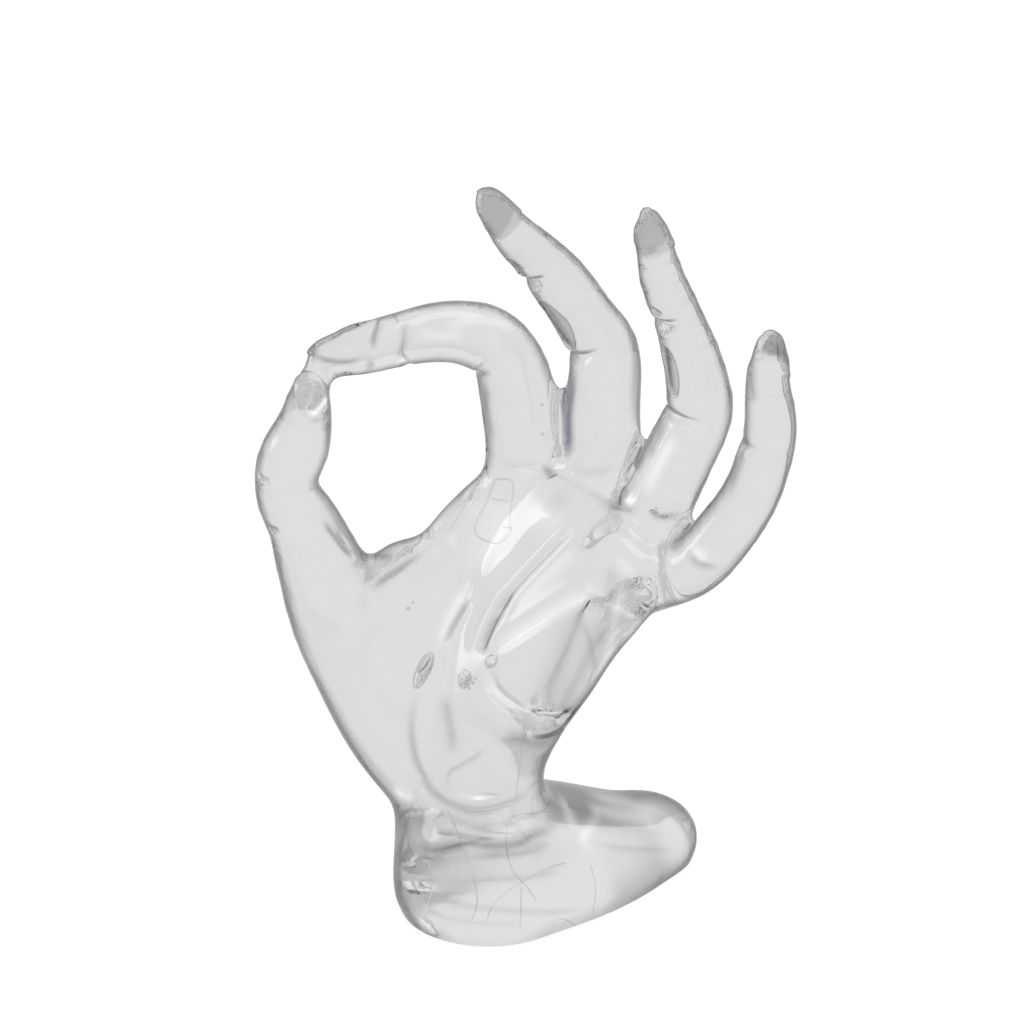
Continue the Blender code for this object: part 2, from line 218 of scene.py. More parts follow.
# Folds on the palm side of the finger joints: the finger, a pixel of the photograph at the fold, the
# fold's depth and its half width.
JOINT_FOLDS = (
    ("index", (402, 340), 1.0, 0.9),
    ("index", (480, 368), 1.2, 1.3),
    ("middle", (526, 281), 2.0, 1.2),
    ("middle", (571, 354), 1.9, 1.2),
    ("middle", (566, 462), 0.8, 1.2),
    ("ring", (655, 318), 1.8, 1.1),
    ("ring", (667, 404), 1.6, 1.1),
    ("pinky", (746, 440), 0.8, 1.3),
    ("thumb", (317, 482), 0.5, 1.6),
)
# A fold fades out round the side of the finger from here, and reaches this many times its radius.
FOLD_WRAP = -0.2
FOLD_NEAR = 1.5

# Flat facets on the palm side between the folds: the finger, the pixels where the facet begins and
# ends, how deep it is pressed, its width across the finger, and how much painted shade greys it.
PAD_FACETS = (
    ("middle", (533, 296), (572, 346), 0.7, 7.0, 0.55),
    ("middle", (504, 258), (524, 274), 0.5, 4.0, 0.45),
    ("ring", (660, 340), (666, 392), 0.5, 4.0, 0.50),
    ("index", (479, 376), (484, 452), 0.5, 4.5, 0.60),
)
# A facet's soft edge, and how many finger radii round it are tested.
FACET_EDGE = 0.35
FACET_NEAR = 1.2

# Creases, streaks and painted light of the skin: where the photograph shows them, in pixels, half width,
# depth, and how much painted shade darkens the skin there, or, where the number is negative, how strongly a
# painted highlight glows.
MARKS = {
    "thumb crease": (((470, 598), (462, 610), (452, 628), (444, 646)), 0.6, 0.5, 0.60),
    "thumb crease light": (((474, 580), (458, 602), (446, 628), (438, 650)), 1.1, 0.3, -0.13),
    "palm light": (((500, 492), (500, 520), (490, 552), (478, 580)), 4.2, 0.0, -0.08),
    "palm upper light": (((520, 500), (548, 516), (566, 524)), 3.2, 0.0, -0.06),
    "head crease": (((588, 514), (551, 548), (515, 586), (496, 612)), 0.9, 0.4, 0.16),
    "head crease end": (((496, 612), (486, 634), (480, 656)), 0.8, 0.3, 0.30),
    "inner line": (((513, 588), (504, 600), (494, 618), (484, 640), (478, 660)), 1.2, 0.7, 0.32),
    "heart crease": (((606, 581), (564, 605), (524, 630), (486, 655)), 1.4, 0.5, -0.13),
    "heart crease edge": (((600, 590), (560, 613), (522, 637), (492, 658)), 0.6, 0.0, 0.10),
    "inner fold": (((484, 670), (494, 690), (512, 706), (551, 721), (574, 712)), 1.3, 0.9, -0.10),
    "inner fold edge": (((490, 664), (500, 686), (516, 700), (527, 712)), 0.6, 0.0, 0.35),
    "lower fold": (((458, 700), (478, 716), (504, 734), (545, 742), (572, 722)), 1.6, 0.6, 0.12),
    "lower fold shade": (((500, 730), (518, 739), (545, 744), (564, 734)), 2.2, 0.0, 0.42),
    "side line": (((576, 612), (586, 632), (592, 652), (594, 672), (584, 696)), 0.6, 0.2, 0.30),
    "side light": (((622, 558), (617, 606), (606, 660), (588, 686)), 0.9, 0.0, -0.15),
    "side shade": (((608, 560), (612, 585), (606, 608)), 1.5, 0.0, 0.22),
    "palm heel": (
        ((424, 682), (413, 708), (412, 740), (420, 770), (438, 796), (470, 809), (500, 806), (526, 793),
         (549, 770)),
        0.9, 0.4, 0.55,
    ),
    "second arc": (((430, 806), (459, 821), (486, 828), (524, 818)), 0.9, 0.0, 0.24),
    "fan line": (((492, 743), (475, 757), (459, 766), (448, 775), (447, 796)), 0.5, 0.0, 0.40),
    "hollow": (((443, 690), (447, 712), (451, 736), (453, 758)), 1.5, 0.3, 0.40),
    "web fold": (((370, 592), (385, 578), (402, 566), (431, 547)), 0.8, 0.5, 0.65),
    "web corner": (((376, 554), (384, 557), (392, 552)), 1.4, 0.0, 0.65),
    "web edge": (((440, 538), (462, 510), (482, 474)), 0.8, 0.3, 0.20),
    "thumb root": (((300, 606), (322, 622), (346, 630)), 1.6, 0.4, 0.10),
    "thumb base": (((320, 516), (332, 532), (345, 548), (353, 556)), 0.8, 0.4, 0.75),
    "thumb joint": (((257, 475), (264, 480), (270, 478)), 0.7, 0.4, 0.40),
    "thumb left edge": (((266, 446), (260, 460), (259, 476)), 1.2, 0.0, 0.45),
    "thumb right edge": (((325, 412), (328, 430), (325, 446)), 1.0, 0.0, 0.50),
    "thumb side": (((266, 524), (272, 530), (280, 529)), 0.9, 0.4, 0.40),
    "thumb nail light": (((304, 413), (316, 411), (323, 402), (325, 393)), 0.7, 0.0, -0.40),
    "index top": (((398, 312), (415, 307), (440, 304)), 1.1, 0.0, 0.50),
    "index joint": (((404, 321), (405, 335), (402, 350), (399, 360)), 0.8, 0.5, 0.50),
    "index glint": (((399, 359), (404, 364)), 0.9, 0.0, -0.30),
    "index pad": (((364, 366), (376, 364)), 1.4, 0.0, 0.55),
    "index nail root": (((382, 320), (375, 334), (372, 352)), 0.7, 0.2, 0.70),
    "index nail edge": (((308, 354), (325, 360), (345, 362), (364, 358)), 0.6, 0.2, 0.70),
    "index nail line": (((312, 352), (326, 344), (346, 333), (370, 325)), 0.5, 0.1, 0.50),
    "index nail tip": (((307, 350), (312, 353), (322, 354)), 1.2, 0.0, 0.60),
    "index nail side": (((316, 340), (338, 328), (362, 321)), 0.6, 0.0, 0.40),
    "index shine": (((440, 327), (470, 320), (500, 323), (518, 333)), 1.1, 0.0, -0.12),
    "index low shine": (((412, 331), (440, 337), (470, 334)), 1.0, 0.0, -0.08),
    "index inner edge": (((484, 376), (486, 400), (489, 425), (491, 448)), 1.5, 0.0, 0.60),
    "index bend": (((507, 304), (517, 314), (525, 327)), 0.9, 0.0, 0.40),
    "index line": (((505, 345), (522, 358), (528, 385), (534, 420), (537, 440)), 0.5, 0.1, 0.12),
    "index root": (((492, 458), (520, 467), (545, 462)), 0.8, 0.4, 0.15),
    "finger gap": (((574, 364), (571, 395), (568, 430), (566, 458)), 1.5, 0.1, 0.85),
    "finger fork": (((543, 462), (549, 472), (552, 478)), 1.1, 0.6, 0.70),
    "fork shade": (((548, 492), (560, 500), (570, 508)), 2.2, 0.2, 0.13),
    "middle root": (((568, 468), (592, 473), (628, 468)), 0.8, 0.3, 0.20),
    "middle tip edge": (((499, 251), (511, 262), (526, 272)), 1.0, 0.1, 0.55),
    "middle pad edge": (((536, 300), (547, 320), (561, 338), (573, 351)), 1.2, 0.0, 0.50),
    "middle back edge": (((624, 320), (633, 345), (634, 380), (631, 420)), 1.1, 0.0, 0.42),
    "ring notch": (((650, 308), (657, 313), (661, 318)), 0.7, 0.5, 0.45),
    "ring pad edge": (((660, 332), (665, 350), (668, 380), (671, 400)), 1.1, 0.0, 0.45),
    "ring low edge": (((670, 416), (658, 440), (645, 463)), 1.0, 0.0, 0.50),
    "ring light": (((678, 430), (665, 453), (652, 478), (644, 498)), 1.3, 0.0, -0.16),
    "ring fork": (((636, 464), (630, 476), (620, 488)), 0.9, 0.8, 0.45),
    "ring root": (((618, 488), (617, 503), (624, 508), (642, 514)), 0.8, 0.5, 0.65),
    "ring root light": (((626, 498), (634, 506)), 1.5, 0.0, -0.22),
    "ring root end": (((648, 508), (657, 516), (668, 517), (686, 512)), 0.8, 0.5, 0.60),
    "ring back edge": (((725, 372), (729, 395), (723, 420)), 0.9, 0.0, 0.38),
    "pinky pad edge": (((751, 358), (750, 380), (754, 405)), 1.4, 0.0, 0.60),
    "pinky low edge": (((748, 424), (745, 446), (736, 475), (726, 500)), 1.1, 0.0, 0.50),
    "pinky root": (((686, 552), (700, 565), (722, 567)), 0.8, 0.5, 0.50),
    "pinky root light": (((692, 545), (699, 554), (708, 562)), 1.3, 0.0, -0.15),
    "pinky root shade": (((662, 543), (676, 549), (684, 556)), 1.6, 0.0, 0.20),
    "leaf bubble shade": (((432, 652), (428, 666), (419, 684)), 0.6, 0.0, 0.50),
    "froth shade": (((467, 673), (467, 688)), 1.7, 0.0, 0.22),
    "round bubble light": (((491, 660), (496, 663)), 1.1, 0.0, -0.20),
    "thumb nail edge": (((329, 394), (329, 408), (320, 419), (304, 420)), 0.5, 0.0, 0.45),
    "middle nail shade": (((484, 222), (490, 232), (496, 239)), 1.3, 0.0, 0.30),
    "ring cuticle": (((636, 255), (648, 253), (661, 248)), 0.8, 0.1, 0.50),
    "pinky nail shade": (((766, 338), (776, 346), (788, 358)), 1.4, 0.0, 0.20),
    "toe middle": (((596, 856), (636, 852), (668, 844)), 3.6, 0.0, 0.22),
    "toe slope": (((584, 808), (612, 813), (642, 818), (662, 822)), 3.6, 0.0, -0.26),
    "wrist band": (
        ((396, 840), (426, 849), (466, 844), (506, 846), (532, 837), (560, 817)), 1.3, 0.1, 0.72,
    ),
    "wrist band end": (((530, 838), (546, 830), (558, 820)), 1.6, 0.0, 0.28),
    "second wrist band": (((404, 852), (426, 858), (493, 856), (532, 851), (560, 840)), 0.7, 0.1, 0.50),
    "foot band": (((402, 872), (426, 879), (493, 880), (546, 874), (566, 864)), 0.8, 0.1, 0.30),
    "low foot band": (((404, 897), (459, 906), (512, 911), (559, 912), (605, 907)), 0.8, 0.1, 0.26),
    "sole band": (((413, 908), (440, 917), (493, 924), (546, 922)), 0.7, 0.1, 0.18),
    "wrist shade": (((404, 812), (418, 815), (430, 818)), 2.4, 0.0, 0.30),
    "wrist glint": (((390, 788), (404, 796), (418, 800)), 1.3, 0.0, -0.22),
    "instep glint": (((564, 794), (568, 812), (572, 832)), 1.5, 0.0, -0.22),
    "instep shade": (((569, 798), (572, 810)), 0.7, 0.0, 0.35),
    "instep second glint": (((592, 800), (596, 816), (584, 838), (600, 846)), 1.3, 0.0, -0.14),
    "toe top": (((580, 794), (612, 800), (645, 808), (674, 824)), 4.0, 0.0, -0.22),
    "toe line": (((578, 840), (620, 848), (660, 850), (686, 850)), 0.6, 0.0, 0.22),
    "toe shade": (((600, 900), (640, 880), (676, 856)), 4.2, 0.0, 0.40),
    "toe light": (((610, 856), (634, 864)), 2.2, 0.0, -0.08),
}
# The share of a mark's length that fades at each end, the height of the lips beside it as a share of its
# depth, and how many widths round its line are tested.
MARK_FADE = 0.30
MARK_LIP = 0.25
MARK_NEAR = 6
# Steps of the smooth line between two pixels of a mark, a nail shape and a crack.
MARK_STEPS = 6
SHAPE_STEPS = 5
CRACK_STEPS = 5
# The skin is split once more where it sinks or rises by this many millimetres.
REFINE_FROM = 0.06
# A ray that misses the skin takes the point nearest to it, this many metres round the middle.
RAY_REACH = 0.06
RAY_STEPS = 61
# Keeps the slope of a level line from dividing by zero.
DIVISION_GUARD = 1e-9
# The names of the layers that the resin reads from the skin: painted shade and painted highlights in one,
# roughness in the other.
SHADE_LAYER = "skin_shade"
SATIN_LAYER = "skin_satin"

# Parts of the skin that are less polished: pixels of the photograph along each patch, its half width
# and its roughness.
SATIN_PATCHES = (
    (((592, 596), (582, 640), (566, 690), (554, 718)), 8.0, 0.60),
    (((600, 600), (626, 594), (640, 590)), 5.0, 0.30),
    (((600, 540), (606, 522), (612, 500), (628, 470)), 4.0, 0.28),
    (((430, 545), (455, 525), (482, 490)), 2.4, 0.25),
    (((376, 560), (370, 580), (384, 590)), 2.4, 0.25),
    (((404, 862), (480, 870), (550, 864), (606, 848)), 4.5, 0.34),
    (((410, 890), (480, 896), (560, 892), (640, 866)), 8.0, 0.20),
    (((430, 926), (490, 934), (560, 922)), 5.0, 0.20),
    (((436, 808), (480, 822), (526, 808)), 4.0, 0.22),
    (((404, 886), (408, 906), (424, 926)), 4.0, 0.35),
    (((530, 720), (545, 740), (540, 780)), 4.5, 0.25),
    (((309, 382), (311, 396), (312, 408)), 3.6, 0.35),
)

# Air bubbles under the skin: a pixel of the photograph, the half sizes along x, y and z, the lean to
# the right in degrees, and how deep the bubble's middle lies.
BUBBLES = (
    ((423, 670), (1.7, 1.1, 4.8), 24.0, 2.0),
    ((424, 664), (0.7, 0.6, 2.6), 30.0, 0.9),
    ((419, 680), (0.6, 0.5, 1.8), 16.0, 0.9),
    ((467, 679), (2.0, 1.6, 2.4), 0.0, 2.8),
    ((493, 661), (1.7, 1.4, 1.6), 0.0, 2.4),
    ((496, 658), (0.7, 0.6, 0.7), 0.0, 0.8),
    ((489, 666), (0.6, 0.5, 0.6), 0.0, 0.8),
    ((408, 608), (0.5, 0.5, 0.5), 0.0, 1.6),
    ((413, 602), (0.35, 0.35, 0.35), 0.0, 1.4),
    ((540, 404), (0.4, 0.4, 0.4), 0.0, 2.0),
    ((541, 433), (0.45, 0.45, 0.45), 0.0, 2.0),
    ((570, 415), (0.5, 0.5, 0.5), 0.0, 1.5),
    ((654, 511), (1.0, 0.8, 0.7), 0.0, 1.6),
    ((664, 516), (0.8, 0.7, 0.6), 0.0, 1.4),
)

# Froth: small bubbles in a spiral about a pixel of the photograph, with their number, the spiral's
# radius, their own radius and their depth.
FROTH = (
    ((467, 680), 14, 2.0, 0.42, 0.7),
    ((656, 512), 5, 1.3, 0.35, 0.6),
)
# The turn from one bubble of a froth to the next in radians, and how often a bubble's faces are split.
SPIRAL_TURN = 2.4
BUBBLE_SPLITS = 3

# Hairline cracks under the skin: the radius and the pixels of the photograph along each one.
CRACKS = (
    (0.17, ((413, 836), (428, 859), (432, 886), (428, 906))),
    (0.17, ((448, 810), (456, 829), (466, 856), (476, 886), (477, 906), (472, 919))),
    (0.17, ((523, 712), (518, 773), (514, 806), (507, 829), (507, 853), (514, 873), (526, 886), (536, 901))),
    (0.17, ((486, 921), (493, 906), (506, 892), (522, 882), (546, 869), (565, 863))),
    (0.17, ((521, 886), (520, 926))),
    (0.17, ((590, 866), (595, 886), (592, 912))),
    (0.16, ((551, 928), (560, 918), (575, 925))),
    (0.24, ((496, 479), (513, 482), (510, 517), (511, 532), (499, 543), (480, 538), (475, 526), (486, 504),
            (496, 479))),
    (0.20, ((493, 499), (510, 501))),
    (0.20, ((494, 541), (502, 528), (511, 528))),
)
# How deep the cracks lie, and the bevel steps that round them.
CRACK_DEPTH = 0.7
CRACK_ROUNDNESS = 1

# The foot, as in the solid: a round heel, a smaller round toe, and a crest from instep to toe.
FOOT_HEEL = (2.0, -7.4)
FOOT_HEEL_RADIUS = 21.1
FOOT_TOE = (35.0, 13.0)
FOOT_TOE_RADIUS = 14.0
FOOT_SIDE_BULGE = 2.2
FOOT_EDGE_HEIGHT = 3.0
FOOT_EDGE_INSET = 2.4
CREST_HEEL_RADIUS = 7.5
CREST_TOE_RADIUS = 0.7
CREST_INSTEP_HEIGHT = 27.0
CREST_TOE_HEIGHT = 12.5
DOME_TURNS = (18.0, 36.0, 54.0, 72.0, 87.0)
DOME_FULLNESS = 0.6
DEPTH_BELOW_GROUND = 6.0
RIM_LAYER = "place on the rim"
CUT_TOLERANCE = 1e-6
# Each smoothing pass moves a point this far towards its neighbours, and the foot's passes fade out at
# this height.
MELT_SHARE = 0.5
FOOT_GROUP = "foot"
FOOT_GROUP_TOP = 18.0

# The wrist: an oval above the heel. The column between them reaches the wrist's place and size in
# steps of (height, share of the way).
WRIST_MIDDLE = (-2.0, -0.5)
WRIST_WIDTH = 35.0
WRIST_DEPTH = 30.0
WRIST_RISE = ((3.0, 0.0), (8.0, 0.25), (14.0, 0.6), (19.0, 0.85), (24.0, 1.0), (30.0, 1.0))

# The camera of the photograph: it looks along +Y, from 25 degrees above the level. Its right is +X.
VIEW_TARGET = (0.0071, 0.0, 0.0896)
VIEW_ELEVATION = math.radians(25.0)
VIEW_DISTANCE = 0.8
VIEW_LENS = 134.4
SENSOR_WIDTH = 36.0
PHOTO_SIZE = 1024
PHOTO_MIDDLE = PHOTO_SIZE / 2
FOCAL_PIXELS = VIEW_LENS / SENSOR_WIDTH * PHOTO_SIZE
VIEW_RIGHT = (1.0, 0.0, 0.0)

# The soft lamps: place, the point each one looks at, its two sides in metres and its power in watts.
SOFTBOXES = {
    "palm softbox": ((-0.95, 0.02, 0.42), (0.015, 0.0, 0.085), (0.8, 0.6), 5.6),
    "top softbox": ((0.3, 0.05, 1.1), (0.0, 0.0, 0.1), (0.8, 0.8), 4.5),
    "front softbox": ((-0.4, -0.9, 0.9), (0.0, 0.0, 0.08), (0.9, 0.6), 2.5),
}
# A lamp's middle as a share of its sides, and from there how far its light is full and where it ends.
LAMP_MIDDLE = (0.5, 0.5, 0.0)
SOFT_MIDDLE = 0.25
SOFT_EDGE = 0.5
# The surroundings turn to the side grey between these shares of sideways direction.
SIDE_START = 0.45
SIDE_END = 0.95
# The resin sees a sky that is this much brighter, and a floor that is this much darker, than the greys
# in StageLook. The camera sees them glow this strongly, and the floor's paint adds the lamps' light.
SKY_LIFT = 0.06
FLOOR_DROP = 0.2
SKY_GLOW = 1.0
FLOOR_GLOW = 0.85
FLOOR_PAINT = (0.25, 0.25, 0.25, 1.0)
WHITE = (1.0, 1.0, 1.0, 1.0)
# The Mix node's sockets for each kind of value: its two inputs and its output.
MIX_SOCKETS = {"FLOAT": (2, 3, 0), "RGBA": (6, 7, 2)}
# How often light may pass or reflect in the resin, so that the bubbles behind it don't turn black.
RESIN_BOUNCES = 26
GLOSS_BOUNCES = 12


class CastingSizes(bpy.types.PropertyGroup):
    """Sizes of the casting's skin and its fine forms."""

    skin_step: bpy.props.FloatProperty(
        name="Skin Step", description="Spacing of the points on the casting's skin",
        default=1.65 * MM, min=0.4 * MM, unit="LENGTH", precision=4,
    )
    melt_passes: bpy.props.IntProperty(
        name="Melt Passes", description="How often the skin is smoothed where limbs meet",
        default=9, min=0,
    )
    foot_passes: bpy.props.IntProperty(
        name="Foot Passes", description="How often the foot is smoothed as well", default=16, min=0,
    )


class ResinLook(bpy.types.PropertyGroup):
    """Colours and optics of the clear resin."""

    tint: bpy.props.FloatVectorProperty(
        name="Tint", description="Colour that light takes on inside the resin",
        default=(0.985, 0.988, 0.992), subtype="COLOR", min=0.0, max=1.0,
    )
    # Painted shade: the grey that the resin is painted where it is seen edge on.
    painted_edge_shade: bpy.props.FloatVectorProperty(
        name="Edge Tint", description="Colour of the resin where it is seen edge on",
        default=(0.12, 0.12, 0.14), subtype="COLOR", min=0.0, max=1.0,
    )
    edge_start: bpy.props.FloatProperty(
        name="Edge Start", description="How edge-on the skin is where it begins to turn grey",
        default=0.36, min=0.0, max=1.0,
    )
    edge_end: bpy.props.FloatProperty(
        name="Edge End", description="How edge-on the skin is where it is greyest",
        default=0.66, min=0.0, max=1.0,
    )
    # Painted shade: the grey that the nails, pad facets and dark marks are painted towards.
    shade_tint: bpy.props.FloatVectorProperty(
        name="Shade Tint", description="Grey that the nails and the dark marks shade towards",
        default=(0.045, 0.045, 0.08), subtype="COLOR", min=0.0, max=1.0,
    )
    roughness: bpy.props.FloatProperty(
        name="Roughness", description="Roughness of the polished resin", default=0.0, min=0.0, max=1.0,
    )
    ior: bpy.props.FloatProperty(
        name="Refractive Index", description="Refractive index of the resin", default=1.49, min=1.0,
    )


class StageLook(bpy.types.PropertyGroup):
    """Floor, light and background."""

    floor_size: bpy.props.FloatProperty(
        name="Floor Size", description="Side of the square floor", default=12.0, min=1.0, unit="LENGTH",
    )
    glass_grey: bpy.props.FloatProperty(
        name="Grey In Glass", description="Brightness of the surroundings as the resin shows them",
        default=0.71, min=0.0, max=1.0,
    )
    side_grey: bpy.props.FloatProperty(
        name="Side Grey", description="Brightness of the surroundings at the left and right",
        default=0.52, min=0.0, max=1.0,
    )
    floor_gap: bpy.props.FloatProperty(
        name="Floor Gap", description="How far the floor lies under the foot",
        default=0.15 * MM, min=0.0, unit="LENGTH", precision=5,
    )


def unit(vector):
    vector = np.asarray(vector, float)
    return vector / np.linalg.norm(vector)


def smooth_rows(rows, steps):
    """The rows joined by a smooth curve through all of them, with this many steps between two rows."""
    rows = np.asarray(rows, float)
    padded = np.vstack([2 * rows[0] - rows[1], rows, 2 * rows[-1] - rows[-2]])
    result = []
    for before, start, end, after in zip(padded, padded[1:], padded[2:], padded[3:]):
        for step in range(steps):
            t = step / steps
            result.append(
                0.5 * (2 * start + (end - before) * t
                       + (2 * before - 5 * start + 4 * end - after) * t ** 2
                       + (3 * start - before - 3 * end + after) * t ** 3)
            )
    result.append(rows[-1])
    return np.array(result)


def section_frames(centres, hinges):
    """For each centre: the way along the limb, the way across it, and the way to the back of the hand."""
    along = np.gradient(centres, axis=0)
    along /= np.linalg.norm(along, axis=1, keepdims=True)
    share = np.linspace(0.0, 1.0, len(centres))[:, None]
    hinge = unit(hinges[0]) * (1.0 - share) + unit(hinges[1]) * share
    back = np.cross(hinge, along)
    back /= np.linalg.norm(back, axis=1, keepdims=True)
    return along, np.cross(along, back), back


def limb_rows(stations, hinges):
    """A limb's smooth rows of middle and size, and for each row its ways along, across and back."""
    rows = smooth_rows(stations, STEPS_PER_STATION)
    return rows, *section_frames(rows[:, :3], hinges)


def section_matrix(centre, across, back, along, width, depth):
    """Places a circle of radius 1 as a section of this width and depth, in metres."""
    columns = np.column_stack([across * width / 2, back * depth / 2, along]) * MM
    matrix = Matrix(columns.tolist()).to_4x4()
    matrix.translation = Vector(centre * MM)
    return matrix


def limb_sections(stations, hinges, tip_length):
    """The matrices of all sections of a limb, from its rounded root to its rounded tip."""
    rows, along, across, back = limb_rows(stations, hinges)
    centres = rows[:, :3]
    sections = []
    for turn in np.radians(END_TURNS):
        place = centres[0] - along[0] * STUB_LENGTH * math.sin(turn)
        size = rows[0, 3:] * math.cos(turn)
        sections.append(section_matrix(place, across[0], back[0], along[0], *size))
    for row, way, side, rear in zip(rows, along, across, back):
        sections.append(section_matrix(row[:3], side, rear, way, *row[3:]))
    for turn in np.radians(END_TURNS[::-1]):
        place = centres[-1] + along[-1] * tip_length * math.sin(turn)
        size = rows[-1, 3:] * math.cos(turn)
        sections.append(section_matrix(place, across[-1], back[-1], along[-1], *size))
    return sections


def deselect_all():
    bpy.ops.object.select_all(action="DESELECT")


def select_only(obj):
    deselect_all()
    obj.select_set(True)
    bpy.context.view_layer.objects.active = obj


def extrude_sections(name, sections):
    """A closed limb: one filled circle, extruded from section to section."""
    deselect_all()
    bpy.ops.mesh.primitive_circle_add(vertices=SECTION_POINTS, radius=1.0, fill_type="NGON")
    limb = bpy.context.object
    limb.name = name
    limb.data.transform(sections[0])
    bpy.ops.object.mode_set(mode="EDIT")
    bpy.ops.mesh.select_all(action="SELECT")
    for last, following in zip(sections, sections[1:]):
        bpy.ops.mesh.extrude_context_move()
        shape = bmesh.from_edit_mesh(limb.data)
        ring = [vert for vert in shape.verts if vert.select]
        bmesh.ops.transform(shape, matrix=following @ last.inverted(), verts=ring)
    bpy.ops.mesh.select_all(action="SELECT")
    bpy.ops.mesh.normals_make_consistent(inside=False)
    bpy.ops.object.mode_set(mode="OBJECT")
    return limb


def bulged_line(start, end, shares):
    """Points from start to end on a shallow arc that bulges to the right of the way there."""
    way = end - start
    outward = np.array([way[1], -way[0]]) / np.linalg.norm(way)
    line = start + way * shares[:, None]
    return line + outward * FOOT_SIDE_BULGE * np.sin(np.pi * shares)[:, None]


def circle_arc(middle, radius, first_turn, last_turn):
    turns = np.linspace(first_turn, last_turn, SECTION_POINTS // 2)
    return middle + radius * np.column_stack([np.cos(turns), np.sin(turns)])


def foot_outline(heel_radius, toe_radius):
    """Points round the heel's and the toe's circles and the two arcs that join them."""
    heel, toe = np.array(FOOT_HEEL), np.array(FOOT_TOE)
    way = toe - heel
    heading = np.arctan2(way[1], way[0])
    touch = np.arccos((heel_radius - toe_radius) / np.linalg.norm(way))
    toe_arc = circle_arc(toe, toe_radius, heading - touch, heading + touch)
    heel_arc = circle_arc(heel, heel_radius, heading + touch, heading + 2 * np.pi - touch)
    shares = np.linspace(0.0, 1.0, SECTION_POINTS // 4 + 2)[1:-1]
    return np.vstack([
        toe_arc,
        bulged_line(toe_arc[-1], heel_arc[0], shares),
        heel_arc,
        bulged_line(heel_arc[-1], toe_arc[0], shares),
    ])


def crest_heights(outline):
    """The crest's height above each point: it falls from the instep to the toe."""
    heel, toe = np.array(FOOT_HEEL), np.array(FOOT_TOE)
    way = toe - heel
    forward = np.clip((outline - heel) @ way / (way @ way), 0.0, 1.0)
    return CREST_INSTEP_HEIGHT + (CREST_TOE_HEIGHT - CREST_INSTEP_HEIGHT) * forward


def foot_levels():
    """The foot's outlines from below the ground up, each as points (x, y, z)."""
    levels = []
    for height, inset in (
        (-DEPTH_BELOW_GROUND, FOOT_EDGE_INSET),
        (0.0, FOOT_EDGE_INSET),
        (FOOT_EDGE_HEIGHT / 2, FOOT_EDGE_INSET / 4),
        (FOOT_EDGE_HEIGHT, 0.0),
    ):
        outline = foot_outline(FOOT_HEEL_RADIUS - inset, FOOT_TOE_RADIUS - inset)
        levels.append(np.column_stack([outline, np.full(len(outline), height)]))
    for turn in np.radians(DOME_TURNS):
        pinch = np.cos(turn) ** DOME_FULLNESS
        heel_radius = CREST_HEEL_RADIUS + (FOOT_HEEL_RADIUS - CREST_HEEL_RADIUS) * pinch
        toe_radius = CREST_TOE_RADIUS + (FOOT_TOE_RADIUS - CREST_TOE_RADIUS) * pinch
        outline = foot_outline(heel_radius, toe_radius)
        rise = (crest_heights(outline) - FOOT_EDGE_HEIGHT) * np.sin(turn)
        levels.append(np.column_stack([outline, FOOT_EDGE_HEIGHT + rise]))
    return levels


def add_foot():
    """The foot: its outline extruded from level to level, each new rim laid on the next level."""
    levels = foot_levels()
    deselect_all()
    bpy.ops.mesh.primitive_circle_add(vertices=len(levels[0]), radius=1.0, fill_type="NGON")
    foot = bpy.context.object
    foot.name = "foot"
    bpy.ops.object.mode_set(mode="EDIT")
    bpy.ops.mesh.select_all(action="SELECT")
    shape = bmesh.from_edit_mesh(foot.data)
    places = shape.verts.layers.int.new(RIM_LAYER)
    shape.faces.ensure_lookup_table()
    for place, vert in enumerate(shape.faces[0].verts):
        vert[places] = place
    for number, level in enumerate(levels):
        if number:
            bpy.ops.mesh.extrude_context_move()
        shape = bmesh.from_edit_mesh(foot.data)
        places = shape.verts.layers.int[RIM_LAYER]
        for vert in shape.verts:
            if vert.select:
                vert.co = Vector(level[vert[places]] * MM)
    bpy.ops.mesh.select_all(action="SELECT")
    bpy.ops.mesh.normals_make_consistent(inside=False)
    bpy.ops.object.mode_set(mode="OBJECT")
    return foot


def wrist_sections():
    """The sections of the column that rises from the heel of the foot to the wrist."""
    heel = np.array([*FOOT_HEEL, 0.0])
    wrist = np.array([*WRIST_MIDDLE, 0.0])
    up = np.array([0.0, 0.0, 1.0])
    across = unit(PALM_HINGE)
    back = np.cross(across, up)
    sole_size = 2 * (FOOT_HEEL_RADIUS - FOOT_EDGE_INSET)
    sections = [
        section_matrix(heel - up * DEPTH_BELOW_GROUND, across, back, up, sole_size, sole_size),
        section_matrix(heel, across, back, up, sole_size, sole_size),
    ]
    for height, share in WRIST_RISE:
        middle = heel + (wrist - heel) * share + up * height
        width = 2 * FOOT_HEEL_RADIUS * (1 - share) + WRIST_WIDTH * share
        depth = 2 * FOOT_HEEL_RADIUS * (1 - share) + WRIST_DEPTH * share
        sections.append(section_matrix(middle, across, back, up, width, depth))
    return sections


def apply_modifier(obj, name, kind, **settings):
    """Adds a modifier with these settings and applies it."""
    modifier = obj.modifiers.new(name, kind)
    for key, value in settings.items():
        setattr(modifier, key, value)
    select_only(obj)
    bpy.ops.object.modifier_apply(modifier=modifier.name)


def join_limbs():
    """All limbs, the wrist and the foot as overlapping closed shapes in one object."""
    pieces = [extrude_sections(name, limb_sections(*limb)) for name, limb in LIMBS.items()]
    pieces.append(extrude_sections("wrist", wrist_sections()))
    pieces.append(add_foot())
    deselect_all()
    for piece in pieces:
        piece.select_set(True)
    bpy.context.view_layer.objects.active = pieces[0]
    bpy.ops.object.join()
    hand = bpy.context.object
    hand.name = "clear_hand"
    hand.data.name = "clear_hand"
    return hand


def skin_vectors(hand, key):
    vectors = np.empty(len(hand.data.vertices) * 3)
    hand.data.vertices.foreach_get(key, vectors)
    return vectors.reshape(-1, 3)


